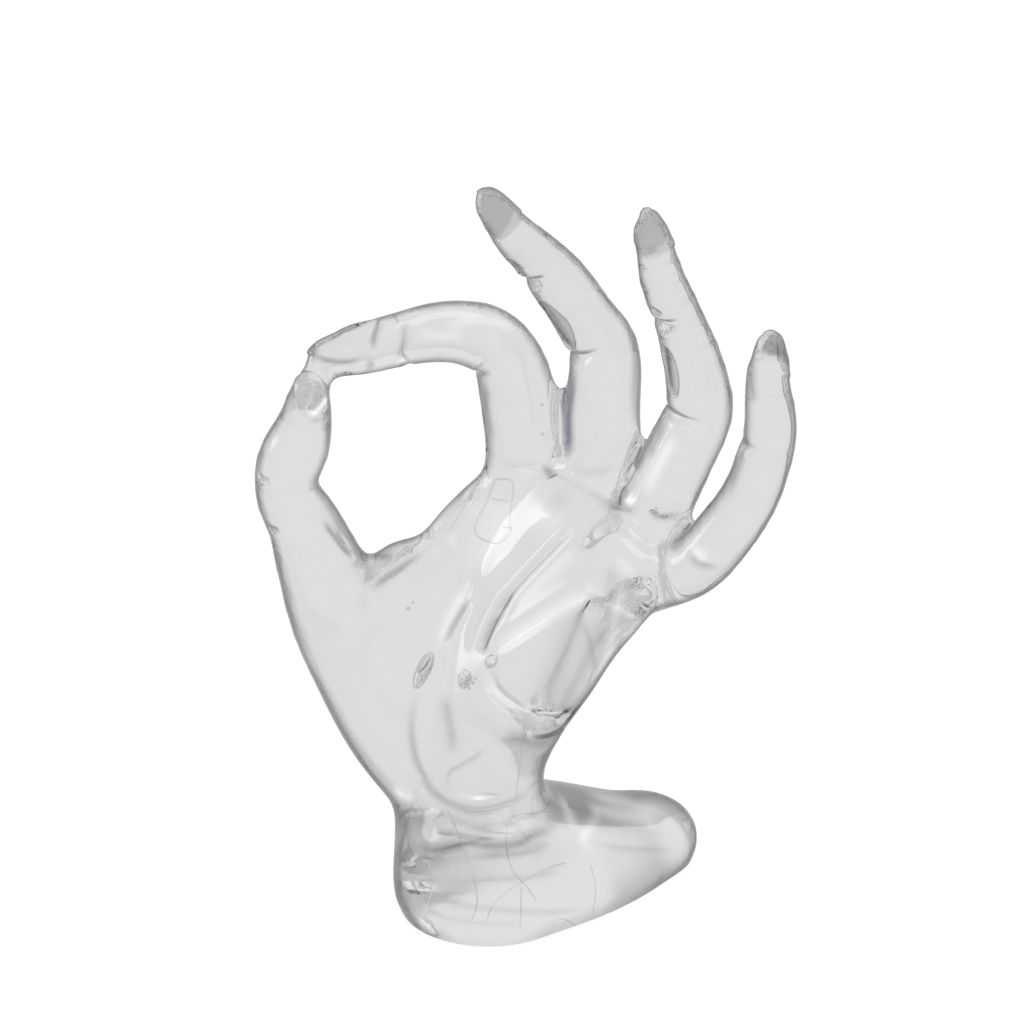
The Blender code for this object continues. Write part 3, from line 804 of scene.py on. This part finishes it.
def skin_points(hand):
    return skin_vectors(hand, "co") / MM


def lay_skin(hand, points):
    """Moves the points of the skin to these places, given in millimetres."""
    hand.data.vertices.foreach_set("co", (points * MM).ravel())
    hand.data.update()


def soft_step(value):
    value = np.clip(value, 0.0, 1.0)
    return value * value * (3.0 - 2.0 * value)


def group_foot(hand):
    """Marks the points of the foot, fading out towards the wrist."""
    group = hand.vertex_groups.new(name=FOOT_GROUP)
    heights = skin_points(hand)[:, 2]
    weights = soft_step((FOOT_GROUP_TOP - heights) / FOOT_GROUP_TOP)
    for number, weight in enumerate(weights):
        if weight > 0.0:
            group.add([number], weight, "REPLACE")


def finger_tip(finger):
    """The tip's point, and the ways along the finger, across it and to its back, at the tip."""
    stations, hinges, tip_length = LIMBS[finger]
    rows, along, across, back = limb_rows(stations, hinges)
    return rows[-1, :3] + along[-1] * tip_length, along[-1], across[-1], back[-1]


def back_nail_cover(points, finger, nail_length):
    """How far each point lies inside a nail on the far side: 1 on the plate, 0 off it."""
    tip, along, across, back = finger_tip(finger)
    offset = points - tip
    behind = -BACK_NAIL_SETBACK - offset @ along
    beside = offset @ across
    above = offset @ back
    half_length = nail_length / 2
    outline = (
        np.abs(beside / (BACK_NAIL_WIDTH / 2)) ** NAIL_SQUARENESS
        + np.abs((behind - half_length) / half_length) ** NAIL_SQUARENESS
    )
    near = (above > 0.0) & (np.linalg.norm(offset, axis=1) < NAIL_NEAR * nail_length)
    return np.where(near, soft_step((1.0 - outline) / NAIL_EDGE), 0.0)


def camera_place():
    """The camera's place and the way it looks, from the photograph's view."""
    rise = math.sin(VIEW_ELEVATION)
    level = math.cos(VIEW_ELEVATION)
    backward = Vector((0.0, -level, rise))
    return Vector(VIEW_TARGET) + backward * VIEW_DISTANCE, -backward


def photo_ray(pixel):
    """The camera's place and the way it looks through a pixel of the photograph, in metres."""
    place, way = camera_place()
    right = Vector(VIEW_RIGHT)
    sideways = right * (pixel[0] - PHOTO_MIDDLE) / FOCAL_PIXELS
    upwards = right.cross(way) * (PHOTO_MIDDLE - pixel[1]) / FOCAL_PIXELS
    return place, (way + sideways + upwards).normalized()


def photo_pixels(points):
    """Where the photograph shows points given in millimetres, in pixels."""
    place, way = (np.array(vector) for vector in camera_place())
    right = np.array(VIEW_RIGHT)
    up = np.cross(right, way)
    offset = points * MM - place
    scale = FOCAL_PIXELS / (offset @ way)
    return np.column_stack([PHOTO_MIDDLE + offset @ right * scale, PHOTO_MIDDLE - offset @ up * scale])


def inside(points, outline):
    """Whether each point of a plane lies inside a closed outline."""
    within = np.zeros(len(points), bool)
    for start, end in zip(outline, np.roll(outline, -1, axis=0)):
        level = (points[:, 1] - start[1]) / (end[1] - start[1] + DIVISION_GUARD)
        crossing = start[0] + level * (end[0] - start[0])
        passes = (start[1] > points[:, 1]) != (end[1] > points[:, 1])
        within ^= passes & (points[:, 0] < crossing)
    return within


def on_skin(tree, pixel):
    """The point of the skin at this pixel of the photograph, or the one nearest its ray, in millimetres."""
    place, way = photo_ray(pixel)
    hit = tree.ray_cast(place, way)[0]
    if hit is None:
        steps = np.linspace(VIEW_DISTANCE - RAY_REACH, VIEW_DISTANCE + RAY_REACH, RAY_STEPS)
        found = [tree.find_nearest(place + way * step) for step in steps]
        hit, _, _, _ = min(found, key=lambda result: result[3])
    return np.array(hit) / MM


def distance_to_line(points, line):
    """Each point's distance to a line through several points, and how far along it lies, from 0 to 1."""
    best = np.full(len(points), np.inf)
    share = np.zeros(len(points))
    for number, (start, end) in enumerate(zip(line, line[1:])):
        way = end - start
        part = np.clip((points - start) @ way / (way @ way), 0.0, 1.0)
        distance = np.linalg.norm(points - start - part[:, None] * way, axis=1)
        nearer = distance < best
        best[nearer] = distance[nearer]
        share[nearer] = (number + part[nearer]) / (len(line) - 1)
    return best, share


def shape_cover(points, normals, finger, pixels, near_side_only):
    """How far each point lies inside a nail as the photograph shows it: 1 inside, 0 outside."""
    outline = smooth_rows((*pixels, pixels[0]), SHAPE_STEPS)
    tip = finger_tip(finger)[0]
    result = np.zeros(len(points))
    near = np.linalg.norm(points - tip, axis=1) < NAIL_REACH
    if near_side_only:
        near &= normals @ np.array(camera_place()[1]) < NAIL_FACING
    places = photo_pixels(points[near])
    depth = distance_to_line(places, outline)[0]
    result[near] = np.where(inside(places, outline), soft_step(depth / SHAPE_EDGE), 0.0)
    return result


def place_on_limb(finger, pixel):
    """The row of a finger nearest to a pixel of the photograph: middle, radius, and ways along and back."""
    stations, hinges, _ = LIMBS[finger]
    rows, along, _, back = limb_rows(stations, hinges)
    place, way = (np.array(vector) for vector in photo_ray(pixel))
    beside_ray = np.linalg.norm(np.cross(rows[:, :3] * MM - place, way), axis=1)
    row = int(np.argmin(beside_ray))
    return rows[row, :3], rows[row, 3:].mean() / 2, along[row], back[row]


def joint_fold(points, finger, pixel, depth, width):
    """How deep each point of the skin sinks at a finger joint's fold: a groove round the palm side."""
    middle, radius, along, back = place_on_limb(finger, pixel)
    offset = points - middle
    palm_side = soft_step(FOLD_WRAP - offset @ back / radius)
    groove = np.exp(-((offset @ along) / width) ** 2)
    near = np.linalg.norm(offset, axis=1) < FOLD_NEAR * radius
    return np.where(near, depth * groove * palm_side, 0.0)


def facet_cover(points, finger, start_pixel, end_pixel, width):
    """How far each point lies inside a facet on the palm side of a finger: 1 inside, 0 outside."""
    start, start_radius, _, start_back = place_on_limb(finger, start_pixel)
    end, end_radius, _, end_back = place_on_limb(finger, end_pixel)
    middle = (start + end) / 2
    radius = (start_radius + end_radius) / 2
    length = np.linalg.norm(end - start)
    along = (end - start) / length
    back = unit(start_back + end_back)
    across = np.cross(along, back)
    offset = points - middle
    oval = 1.0 - (offset @ along / (length / 2)) ** 2 - (offset @ across / (width / 2)) ** 2
    near = (offset @ back < 0.0) & (np.linalg.norm(offset, axis=1) < length / 2 + FACET_NEAR * radius)
    return np.where(near, soft_step(oval / FACET_EDGE), 0.0)


def mark_strength(points, tree, pixels, width):
    """How strong a mark is at each point of the skin, and how strong the lips two widths beside it are."""
    line = smooth_rows([on_skin(tree, pixel) for pixel in pixels], MARK_STEPS)
    strength, lips = np.zeros(len(points)), np.zeros(len(points))
    near = np.linalg.norm(points - line.mean(axis=0), axis=1) < np.ptp(line, axis=0).sum() + MARK_NEAR * width
    distance, share = distance_to_line(points[near], line)
    fade = soft_step(share / MARK_FADE) * soft_step((1.0 - share) / MARK_FADE)
    strength[near] = np.exp(-(distance / width) ** 2) * fade
    lips[near] = np.exp(-((distance - 2.0 * width) / width) ** 2) * fade
    return strength, lips


def skin_relief(points, normals, tree):
    """How deep each point of the skin sinks in folds, facets and creases, and its painted shade, which is
    negative where a painted highlight glows.
    """
    sunk = np.zeros(len(points))
    shades = np.zeros(len(points))
    for fold in JOINT_FOLDS:
        sunk = np.maximum(sunk, joint_fold(points, *fold))
    # Painted shade on the pad facets.
    for finger, start_pixel, end_pixel, depth, width, shade in PAD_FACETS:
        cover = facet_cover(points, finger, start_pixel, end_pixel, width)
        sunk = np.maximum(sunk, cover * depth)
        shades = np.maximum(shades, cover * shade)
    # Painted shade greys the nails.
    for finger, (pixels, rise, shade, near_side_only) in NAIL_SHAPES.items():
        cover = shape_cover(points, normals, finger, pixels, near_side_only)
        sunk -= cover * rise
        shades = np.maximum(shades, cover * shade)
    for finger, nail_length in BACK_NAIL_LENGTHS.items():
        sunk -= back_nail_cover(points, finger, nail_length) * BACK_NAIL_RISE
    # Painted shade darkens the marks, and painted highlights glow where their number is negative.
    for pixels, width, depth, shade in MARKS.values():
        strength, lips = mark_strength(points, tree, pixels, width)
        sunk += (strength - MARK_LIP * lips) * depth
        shades += strength * shade
    return sunk, shades


def join_hollow(hand, hollow):
    """Joins a closed shape to the hand as an inner wall that faces into the hollow."""
    select_only(hollow)
    bpy.ops.object.mode_set(mode="EDIT")
    bpy.ops.mesh.select_all(action="SELECT")
    bpy.ops.mesh.normals_make_consistent(inside=True)
    bpy.ops.object.mode_set(mode="OBJECT")
    hand.select_set(True)
    bpy.context.view_layer.objects.active = hand
    bpy.ops.object.join()


def add_cracks(hand, tree):
    """Hairline cracks under the skin, as thin hollow tubes inside the casting."""
    for radius, pixels in CRACKS:
        line = smooth_rows([on_skin(tree, pixel) for pixel in pixels], CRACK_STEPS)
        line += np.array(camera_place()[1]) * CRACK_DEPTH
        curve = bpy.data.curves.new("crack", "CURVE")
        curve.dimensions = "3D"
        curve.bevel_depth = radius * MM
        curve.bevel_resolution = CRACK_ROUNDNESS
        curve.use_fill_caps = True
        spline = curve.splines.new("POLY")
        spline.points.add(len(line) - 1)
        for point, place in zip(spline.points, line * MM):
            point.co = (*place, 1.0)
        crack = bpy.data.objects.new("crack", curve)
        bpy.context.scene.collection.objects.link(crack)
        select_only(crack)
        bpy.ops.object.convert(target="MESH")
        join_hollow(hand, bpy.context.object)


def froth_bubbles():
    """The small bubbles of the froth, in the form of the bubble table."""
    pixels_per_mm = FOCAL_PIXELS / VIEW_DISTANCE * MM
    bubbles = []
    for (x, y), count, spread, radius, depth in FROTH:
        for number in range(count):
            turn = number * SPIRAL_TURN
            reach = spread * math.sqrt(number / count) * pixels_per_mm
            pixel = (x + reach * math.cos(turn), y + reach * math.sin(turn))
            bubbles.append((pixel, (radius, radius, radius), 0.0, depth))
    return bubbles


def add_bubbles(hand, tree):
    """Air bubbles under the skin, as hollows inside the casting."""
    for pixel, half_sizes, lean, depth in (*BUBBLES, *froth_bubbles()):
        middle = on_skin(tree, pixel) + np.array(photo_ray(pixel)[1]) * depth
        deselect_all()
        bpy.ops.mesh.primitive_ico_sphere_add(subdivisions=BUBBLE_SPLITS, radius=1.0)
        bubble = bpy.context.object
        stretch = Matrix.Diagonal((*(size * MM for size in half_sizes), 1.0))
        turn = Matrix.Rotation(math.radians(lean), 4, "Y")
        bubble.data.transform(Matrix.Translation(Vector(middle * MM)) @ turn @ stretch)
        join_hollow(hand, bubble)


def refine_skin(hand, relief):
    """Splits the faces where the skin's relief is, so that fine grooves come out smooth."""
    shape = bmesh.new()
    shape.from_mesh(hand.data)
    shape.verts.ensure_lookup_table()
    edges = [
        edge for edge in shape.edges
        if max(abs(relief[edge.verts[0].index]), abs(relief[edge.verts[1].index])) > REFINE_FROM
    ]
    bmesh.ops.subdivide_edges(shape, edges=edges, cuts=1, use_grid_fill=True)
    shape.to_mesh(hand.data)
    shape.free()


def skin_roughness(points, tree):
    """How rough each point of the skin is beyond the polish."""
    rough = np.zeros(len(points))
    for pixels, width, roughness in SATIN_PATCHES:
        strength, _ = mark_strength(points, tree, pixels, width)
        rough = np.maximum(rough, strength * roughness)
    return rough


def set_layer(hand, name, values):
    """Keeps a value for each point of the skin, for the resin to read."""
    layer = hand.data.attributes.new(name, "FLOAT", "POINT")
    layer.data.foreach_set("value", values)


def cut_flat_underside(hand):
    """Cuts the foot off at the ground and closes it with one flat face."""
    shape = bmesh.new()
    shape.from_mesh(hand.data)
    bmesh.ops.bisect_plane(
        shape, geom=shape.verts[:] + shape.edges[:] + shape.faces[:], dist=CUT_TOLERANCE,
        plane_co=(0, 0, 0), plane_no=(0, 0, 1), clear_inner=True,
    )
    rim = [edge for edge in shape.edges if edge.is_boundary]
    bmesh.ops.contextual_create(shape, geom=rim)
    for edge in rim:
        edge.smooth = False
    bmesh.ops.recalc_face_normals(shape, faces=shape.faces)
    shape.to_mesh(hand.data)
    shape.free()


def calculate(tree, operation, first, second, clamp=False):
    """The output of a Math node on two values, each a socket or a number."""
    node = tree.nodes.new("ShaderNodeMath")
    node.operation = operation
    node.use_clamp = clamp
    for socket, value in zip(node.inputs, (first, second)):
        if isinstance(value, bpy.types.NodeSocket):
            tree.links.new(value, socket)
        else:
            socket.default_value = value
    return node.outputs["Value"]


def mix_constant(tree, kind, factor, value, constant):
    """The output of a Mix node that goes from a linked value to a constant."""
    value_input, constant_input, output = MIX_SOCKETS[kind]
    node = tree.nodes.new("ShaderNodeMix")
    node.data_type = kind
    node.inputs[constant_input].default_value = constant
    tree.links.new(factor, node.inputs[0])
    tree.links.new(value, node.inputs[value_input])
    return node.outputs[output]


def smooth_range(tree, value, start, end, first, last):
    """The output of a Map Range node that turns smoothly from first at start to last at end."""
    node = tree.nodes.new("ShaderNodeMapRange")
    node.interpolation_type = "SMOOTHSTEP"
    node.inputs["From Min"].default_value = start
    node.inputs["From Max"].default_value = end
    node.inputs["To Min"].default_value = first
    node.inputs["To Max"].default_value = last
    tree.links.new(value, node.inputs["Value"])
    return node.outputs["Result"]


def skin_layer(tree, name):
    """The output of an Attribute node that reads a layer of the skin."""
    node = tree.nodes.new("ShaderNodeAttribute")
    node.attribute_name = name
    return node.outputs["Fac"]


def resin_material(look):
    """Clear resin, painted greyer where it is seen edge on, with the skin's painted shade, painted highlights
    that glow, and its satin.
    """
    material = bpy.data.materials.new("clear_resin")
    material.use_nodes = True
    material.cycles.emission_sampling = "NONE"
    tree = material.node_tree
    shader = tree.nodes["Principled BSDF"]
    shader.inputs["IOR"].default_value = look.ior
    shader.inputs["Transmission Weight"].default_value = 1.0
    # The white glow of the painted highlights.
    shader.inputs["Emission Color"].default_value = WHITE
    # Painted shade: the base colour turns grey where the skin is seen edge on.
    edge = tree.nodes.new("ShaderNodeLayerWeight")
    ramp = tree.nodes.new("ShaderNodeValToRGB")
    clear, grey = ramp.color_ramp.elements
    clear.position = look.edge_start
    clear.color = (*look.tint, 1.0)
    grey.position = look.edge_end
    grey.color = (*look.painted_edge_shade, 1.0)
    tree.links.new(edge.outputs["Facing"], ramp.inputs["Fac"])
    # Painted shade darkens the base colour towards the shade tint.
    shades = skin_layer(tree, SHADE_LAYER)
    color = mix_constant(tree, "RGBA", shades, ramp.outputs["Color"], (*look.shade_tint, 1.0))
    roughness = calculate(tree, "ADD", skin_layer(tree, SATIN_LAYER), look.roughness)
    # Painted highlights: where the shade layer is negative, the skin glows.
    glints = calculate(tree, "MULTIPLY", shades, -1.0, clamp=True)
    tree.links.new(color, shader.inputs["Base Color"])
    tree.links.new(roughness, shader.inputs["Roughness"])
    tree.links.new(glints, shader.inputs["Emission Strength"])
    return material


def shape_skin(hand, tree):
    """Gives the skin its folds, nails and marks, as relief and as layers for the resin: painted shade and
    painted highlights, and roughness.
    """
    refine_skin(hand, skin_relief(skin_points(hand), skin_vectors(hand, "normal"), tree)[0])
    points = skin_points(hand)
    normals = skin_vectors(hand, "normal")
    sunk, shades = skin_relief(points, normals, tree)
    set_layer(hand, SHADE_LAYER, shades)
    set_layer(hand, SATIN_LAYER, skin_roughness(points, tree))
    lay_skin(hand, points - normals * sunk[:, None])


class HANDSTAND_OT_cast_hand(bpy.types.Operator):
    """Casts the hand, its wrist and its foot as one clear piece"""

    bl_idname = "handstand.cast_hand"
    bl_label = "Cast Hand"

    def execute(self, context):
        sizes = context.scene.handstand_casting
        hand = join_limbs()
        apply_modifier(hand, "one skin", "REMESH", mode="VOXEL", voxel_size=sizes.skin_step)
        apply_modifier(hand, "soft joins", "SMOOTH", factor=MELT_SHARE, iterations=sizes.melt_passes)
        group_foot(hand)
        apply_modifier(hand, "even foot", "SMOOTH", factor=MELT_SHARE, iterations=sizes.foot_passes,
                       vertex_group=FOOT_GROUP)
        apply_modifier(hand, "round skin", "SUBSURF", levels=1, render_levels=1)
        tree = BVHTree.FromObject(hand, context.evaluated_depsgraph_get())
        shape_skin(hand, tree)
        cut_flat_underside(hand)
        add_bubbles(hand, tree)
        add_cracks(hand, tree)
        hand.data.shade_smooth()
        hand.data.materials.clear()
        hand.data.materials.append(resin_material(context.scene.handstand_resin))
        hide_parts("hand_casting")
        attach(hand, "root")
        return {"FINISHED"}


def add_camera():
    place, way = camera_place()
    camera = bpy.data.cameras.new("photo view")
    camera.lens = VIEW_LENS
    camera.sensor_width = SENSOR_WIDTH
    holder = bpy.data.objects.new("photo view", camera)
    holder.location = place
    holder.rotation_euler = way.to_track_quat("-Z", "Y").to_euler()
    bpy.context.scene.collection.objects.link(holder)
    bpy.context.scene.camera = holder


def soften_edges(light):
    """Lets the light fade from its middle to its edges, as behind a soft cloth."""
    light.use_nodes = True
    tree = light.node_tree
    place = tree.nodes.new("ShaderNodeNewGeometry")
    distance = tree.nodes.new("ShaderNodeVectorMath")
    distance.operation = "DISTANCE"
    distance.inputs[1].default_value = LAMP_MIDDLE
    tree.links.new(place.outputs["Parametric"], distance.inputs[0])
    strength = smooth_range(tree, distance.outputs["Value"], SOFT_EDGE, SOFT_MIDDLE, 0.0, 1.0)
    tree.links.new(strength, tree.nodes["Emission"].inputs["Strength"])


def add_softbox(name, place, target, size, power):
    """A soft lamp, which the resin reflects but doesn't show when it is looked through."""
    light = bpy.data.lights.new(name, "AREA")
    light.shape = "RECTANGLE"
    light.size, light.size_y = size
    light.energy = power
    soften_edges(light)
    holder = bpy.data.objects.new(name, light)
    holder.location = place
    holder.rotation_euler = (Vector(target) - Vector(place)).to_track_quat("-Z", "Y").to_euler()
    holder.visible_transmission = False
    bpy.context.scene.collection.objects.link(holder)


def side_share(tree, vector):
    """How far a direction points to the left or right: 0 ahead and behind, 1 at the sides."""
    parts = tree.nodes.new("ShaderNodeSeparateXYZ")
    tree.links.new(vector, parts.inputs["Vector"])
    squares = [calculate(tree, "MULTIPLY", parts.outputs[axis], parts.outputs[axis]) for axis in ("X", "Y")]
    return calculate(tree, "DIVIDE", squares[0], calculate(tree, "ADD", *squares))


def surroundings_strength(tree, vector, ahead, side, camera):
    """A strength that the resin sees, greyer at the sides, and another that the camera sees."""
    greys = smooth_range(tree, side_share(tree, vector), SIDE_START, SIDE_END, ahead, side)
    path = tree.nodes.new("ShaderNodeLightPath")
    return mix_constant(tree, "FLOAT", path.outputs["Is Camera Ray"], greys, camera)


def floor_material(look):
    """White to the camera, and the greys of the surroundings where the resin shows it."""
    material = bpy.data.materials.new("white_floor")
    material.use_nodes = True
    tree = material.node_tree
    tree.nodes.clear()
    output = tree.nodes.new("ShaderNodeOutputMaterial")
    paint = tree.nodes.new("ShaderNodeBsdfDiffuse")
    paint.inputs["Color"].default_value = FLOOR_PAINT
    glow = tree.nodes.new("ShaderNodeEmission")
    place = tree.nodes.new("ShaderNodeTexCoord")
    ahead, side = look.glass_grey - FLOOR_DROP, look.side_grey - FLOOR_DROP
    strength = surroundings_strength(tree, place.outputs["Object"], ahead, side, FLOOR_GLOW)
    both = tree.nodes.new("ShaderNodeAddShader")
    tree.links.new(strength, glow.inputs["Strength"])
    tree.links.new(paint.outputs["BSDF"], both.inputs[0])
    tree.links.new(glow.outputs["Emission"], both.inputs[1])
    tree.links.new(both.outputs["Shader"], output.inputs["Surface"])
    return material


def world_light(look):
    """A plain white sky, which the resin shows in the greys of the surroundings."""
    world = bpy.data.worlds.new("studio")
    bpy.context.scene.world = world
    world.use_nodes = True
    tree = world.node_tree
    background = tree.nodes["Background"]
    background.inputs["Color"].default_value = WHITE
    way = tree.nodes.new("ShaderNodeTexCoord")
    ahead = look.glass_grey + SKY_LIFT
    strength = surroundings_strength(tree, way.outputs["Generated"], ahead, look.side_grey, SKY_GLOW)
    tree.links.new(strength, background.inputs["Strength"])


class HANDSTAND_OT_stage(bpy.types.Operator):
    """Lays the floor and sets the lights and the camera"""

    bl_idname = "handstand.stage"
    bl_label = "Stage"

    def execute(self, context):
        look = context.scene.handstand_stage
        deselect_all()
        bpy.ops.mesh.primitive_plane_add(size=look.floor_size, location=(0.0, 0.0, -look.floor_gap))
        floor = context.object
        floor.name = "white_floor"
        floor.data.materials.append(floor_material(look))
        world_light(look)
        for name, lamp in SOFTBOXES.items():
            add_softbox(name, *lamp)
        add_camera()
        context.scene.view_settings.view_transform = "Standard"
        context.scene.cycles.max_bounces = RESIN_BOUNCES
        context.scene.cycles.glossy_bounces = GLOSS_BOUNCES
        context.scene.cycles.transmission_bounces = RESIN_BOUNCES
        return {"FINISHED"}


class HANDSTAND_PT_panel(bpy.types.Panel):
    """Lists the steps that build the stand"""

    bl_idname = "HANDSTAND_PT_panel"
    bl_label = "Hand Stand"
    bl_space_type = "VIEW_3D"
    bl_region_type = "UI"
    bl_category = "Hand Stand"

    def draw(self, context):
        layout = self.layout
        for step in STEPS:
            layout.operator(step.bl_idname)
        for settings in (context.scene.handstand_casting, context.scene.handstand_resin,
                         context.scene.handstand_stage):
            for key in settings.bl_rna.properties.keys():
                if key not in {"rna_type", "name"}:
                    layout.prop(settings, key)


STEPS = (HANDSTAND_OT_cast_hand, HANDSTAND_OT_stage)
CLASSES = (CastingSizes, ResinLook, StageLook, *STEPS, HANDSTAND_PT_panel)


def register():
    for cls in CLASSES:
        bpy.utils.register_class(cls)
    bpy.types.Scene.handstand_casting = bpy.props.PointerProperty(type=CastingSizes)
    bpy.types.Scene.handstand_resin = bpy.props.PointerProperty(type=ResinLook)
    bpy.types.Scene.handstand_stage = bpy.props.PointerProperty(type=StageLook)


def unregister():
    del bpy.types.Scene.handstand_casting
    del bpy.types.Scene.handstand_resin
    del bpy.types.Scene.handstand_stage
    for cls in reversed(CLASSES):
        bpy.utils.unregister_class(cls)


def main():
    register()
    bpy.ops.handstand.cast_hand()
    bpy.ops.handstand.stage()


if __name__ == "__main__":
    main()
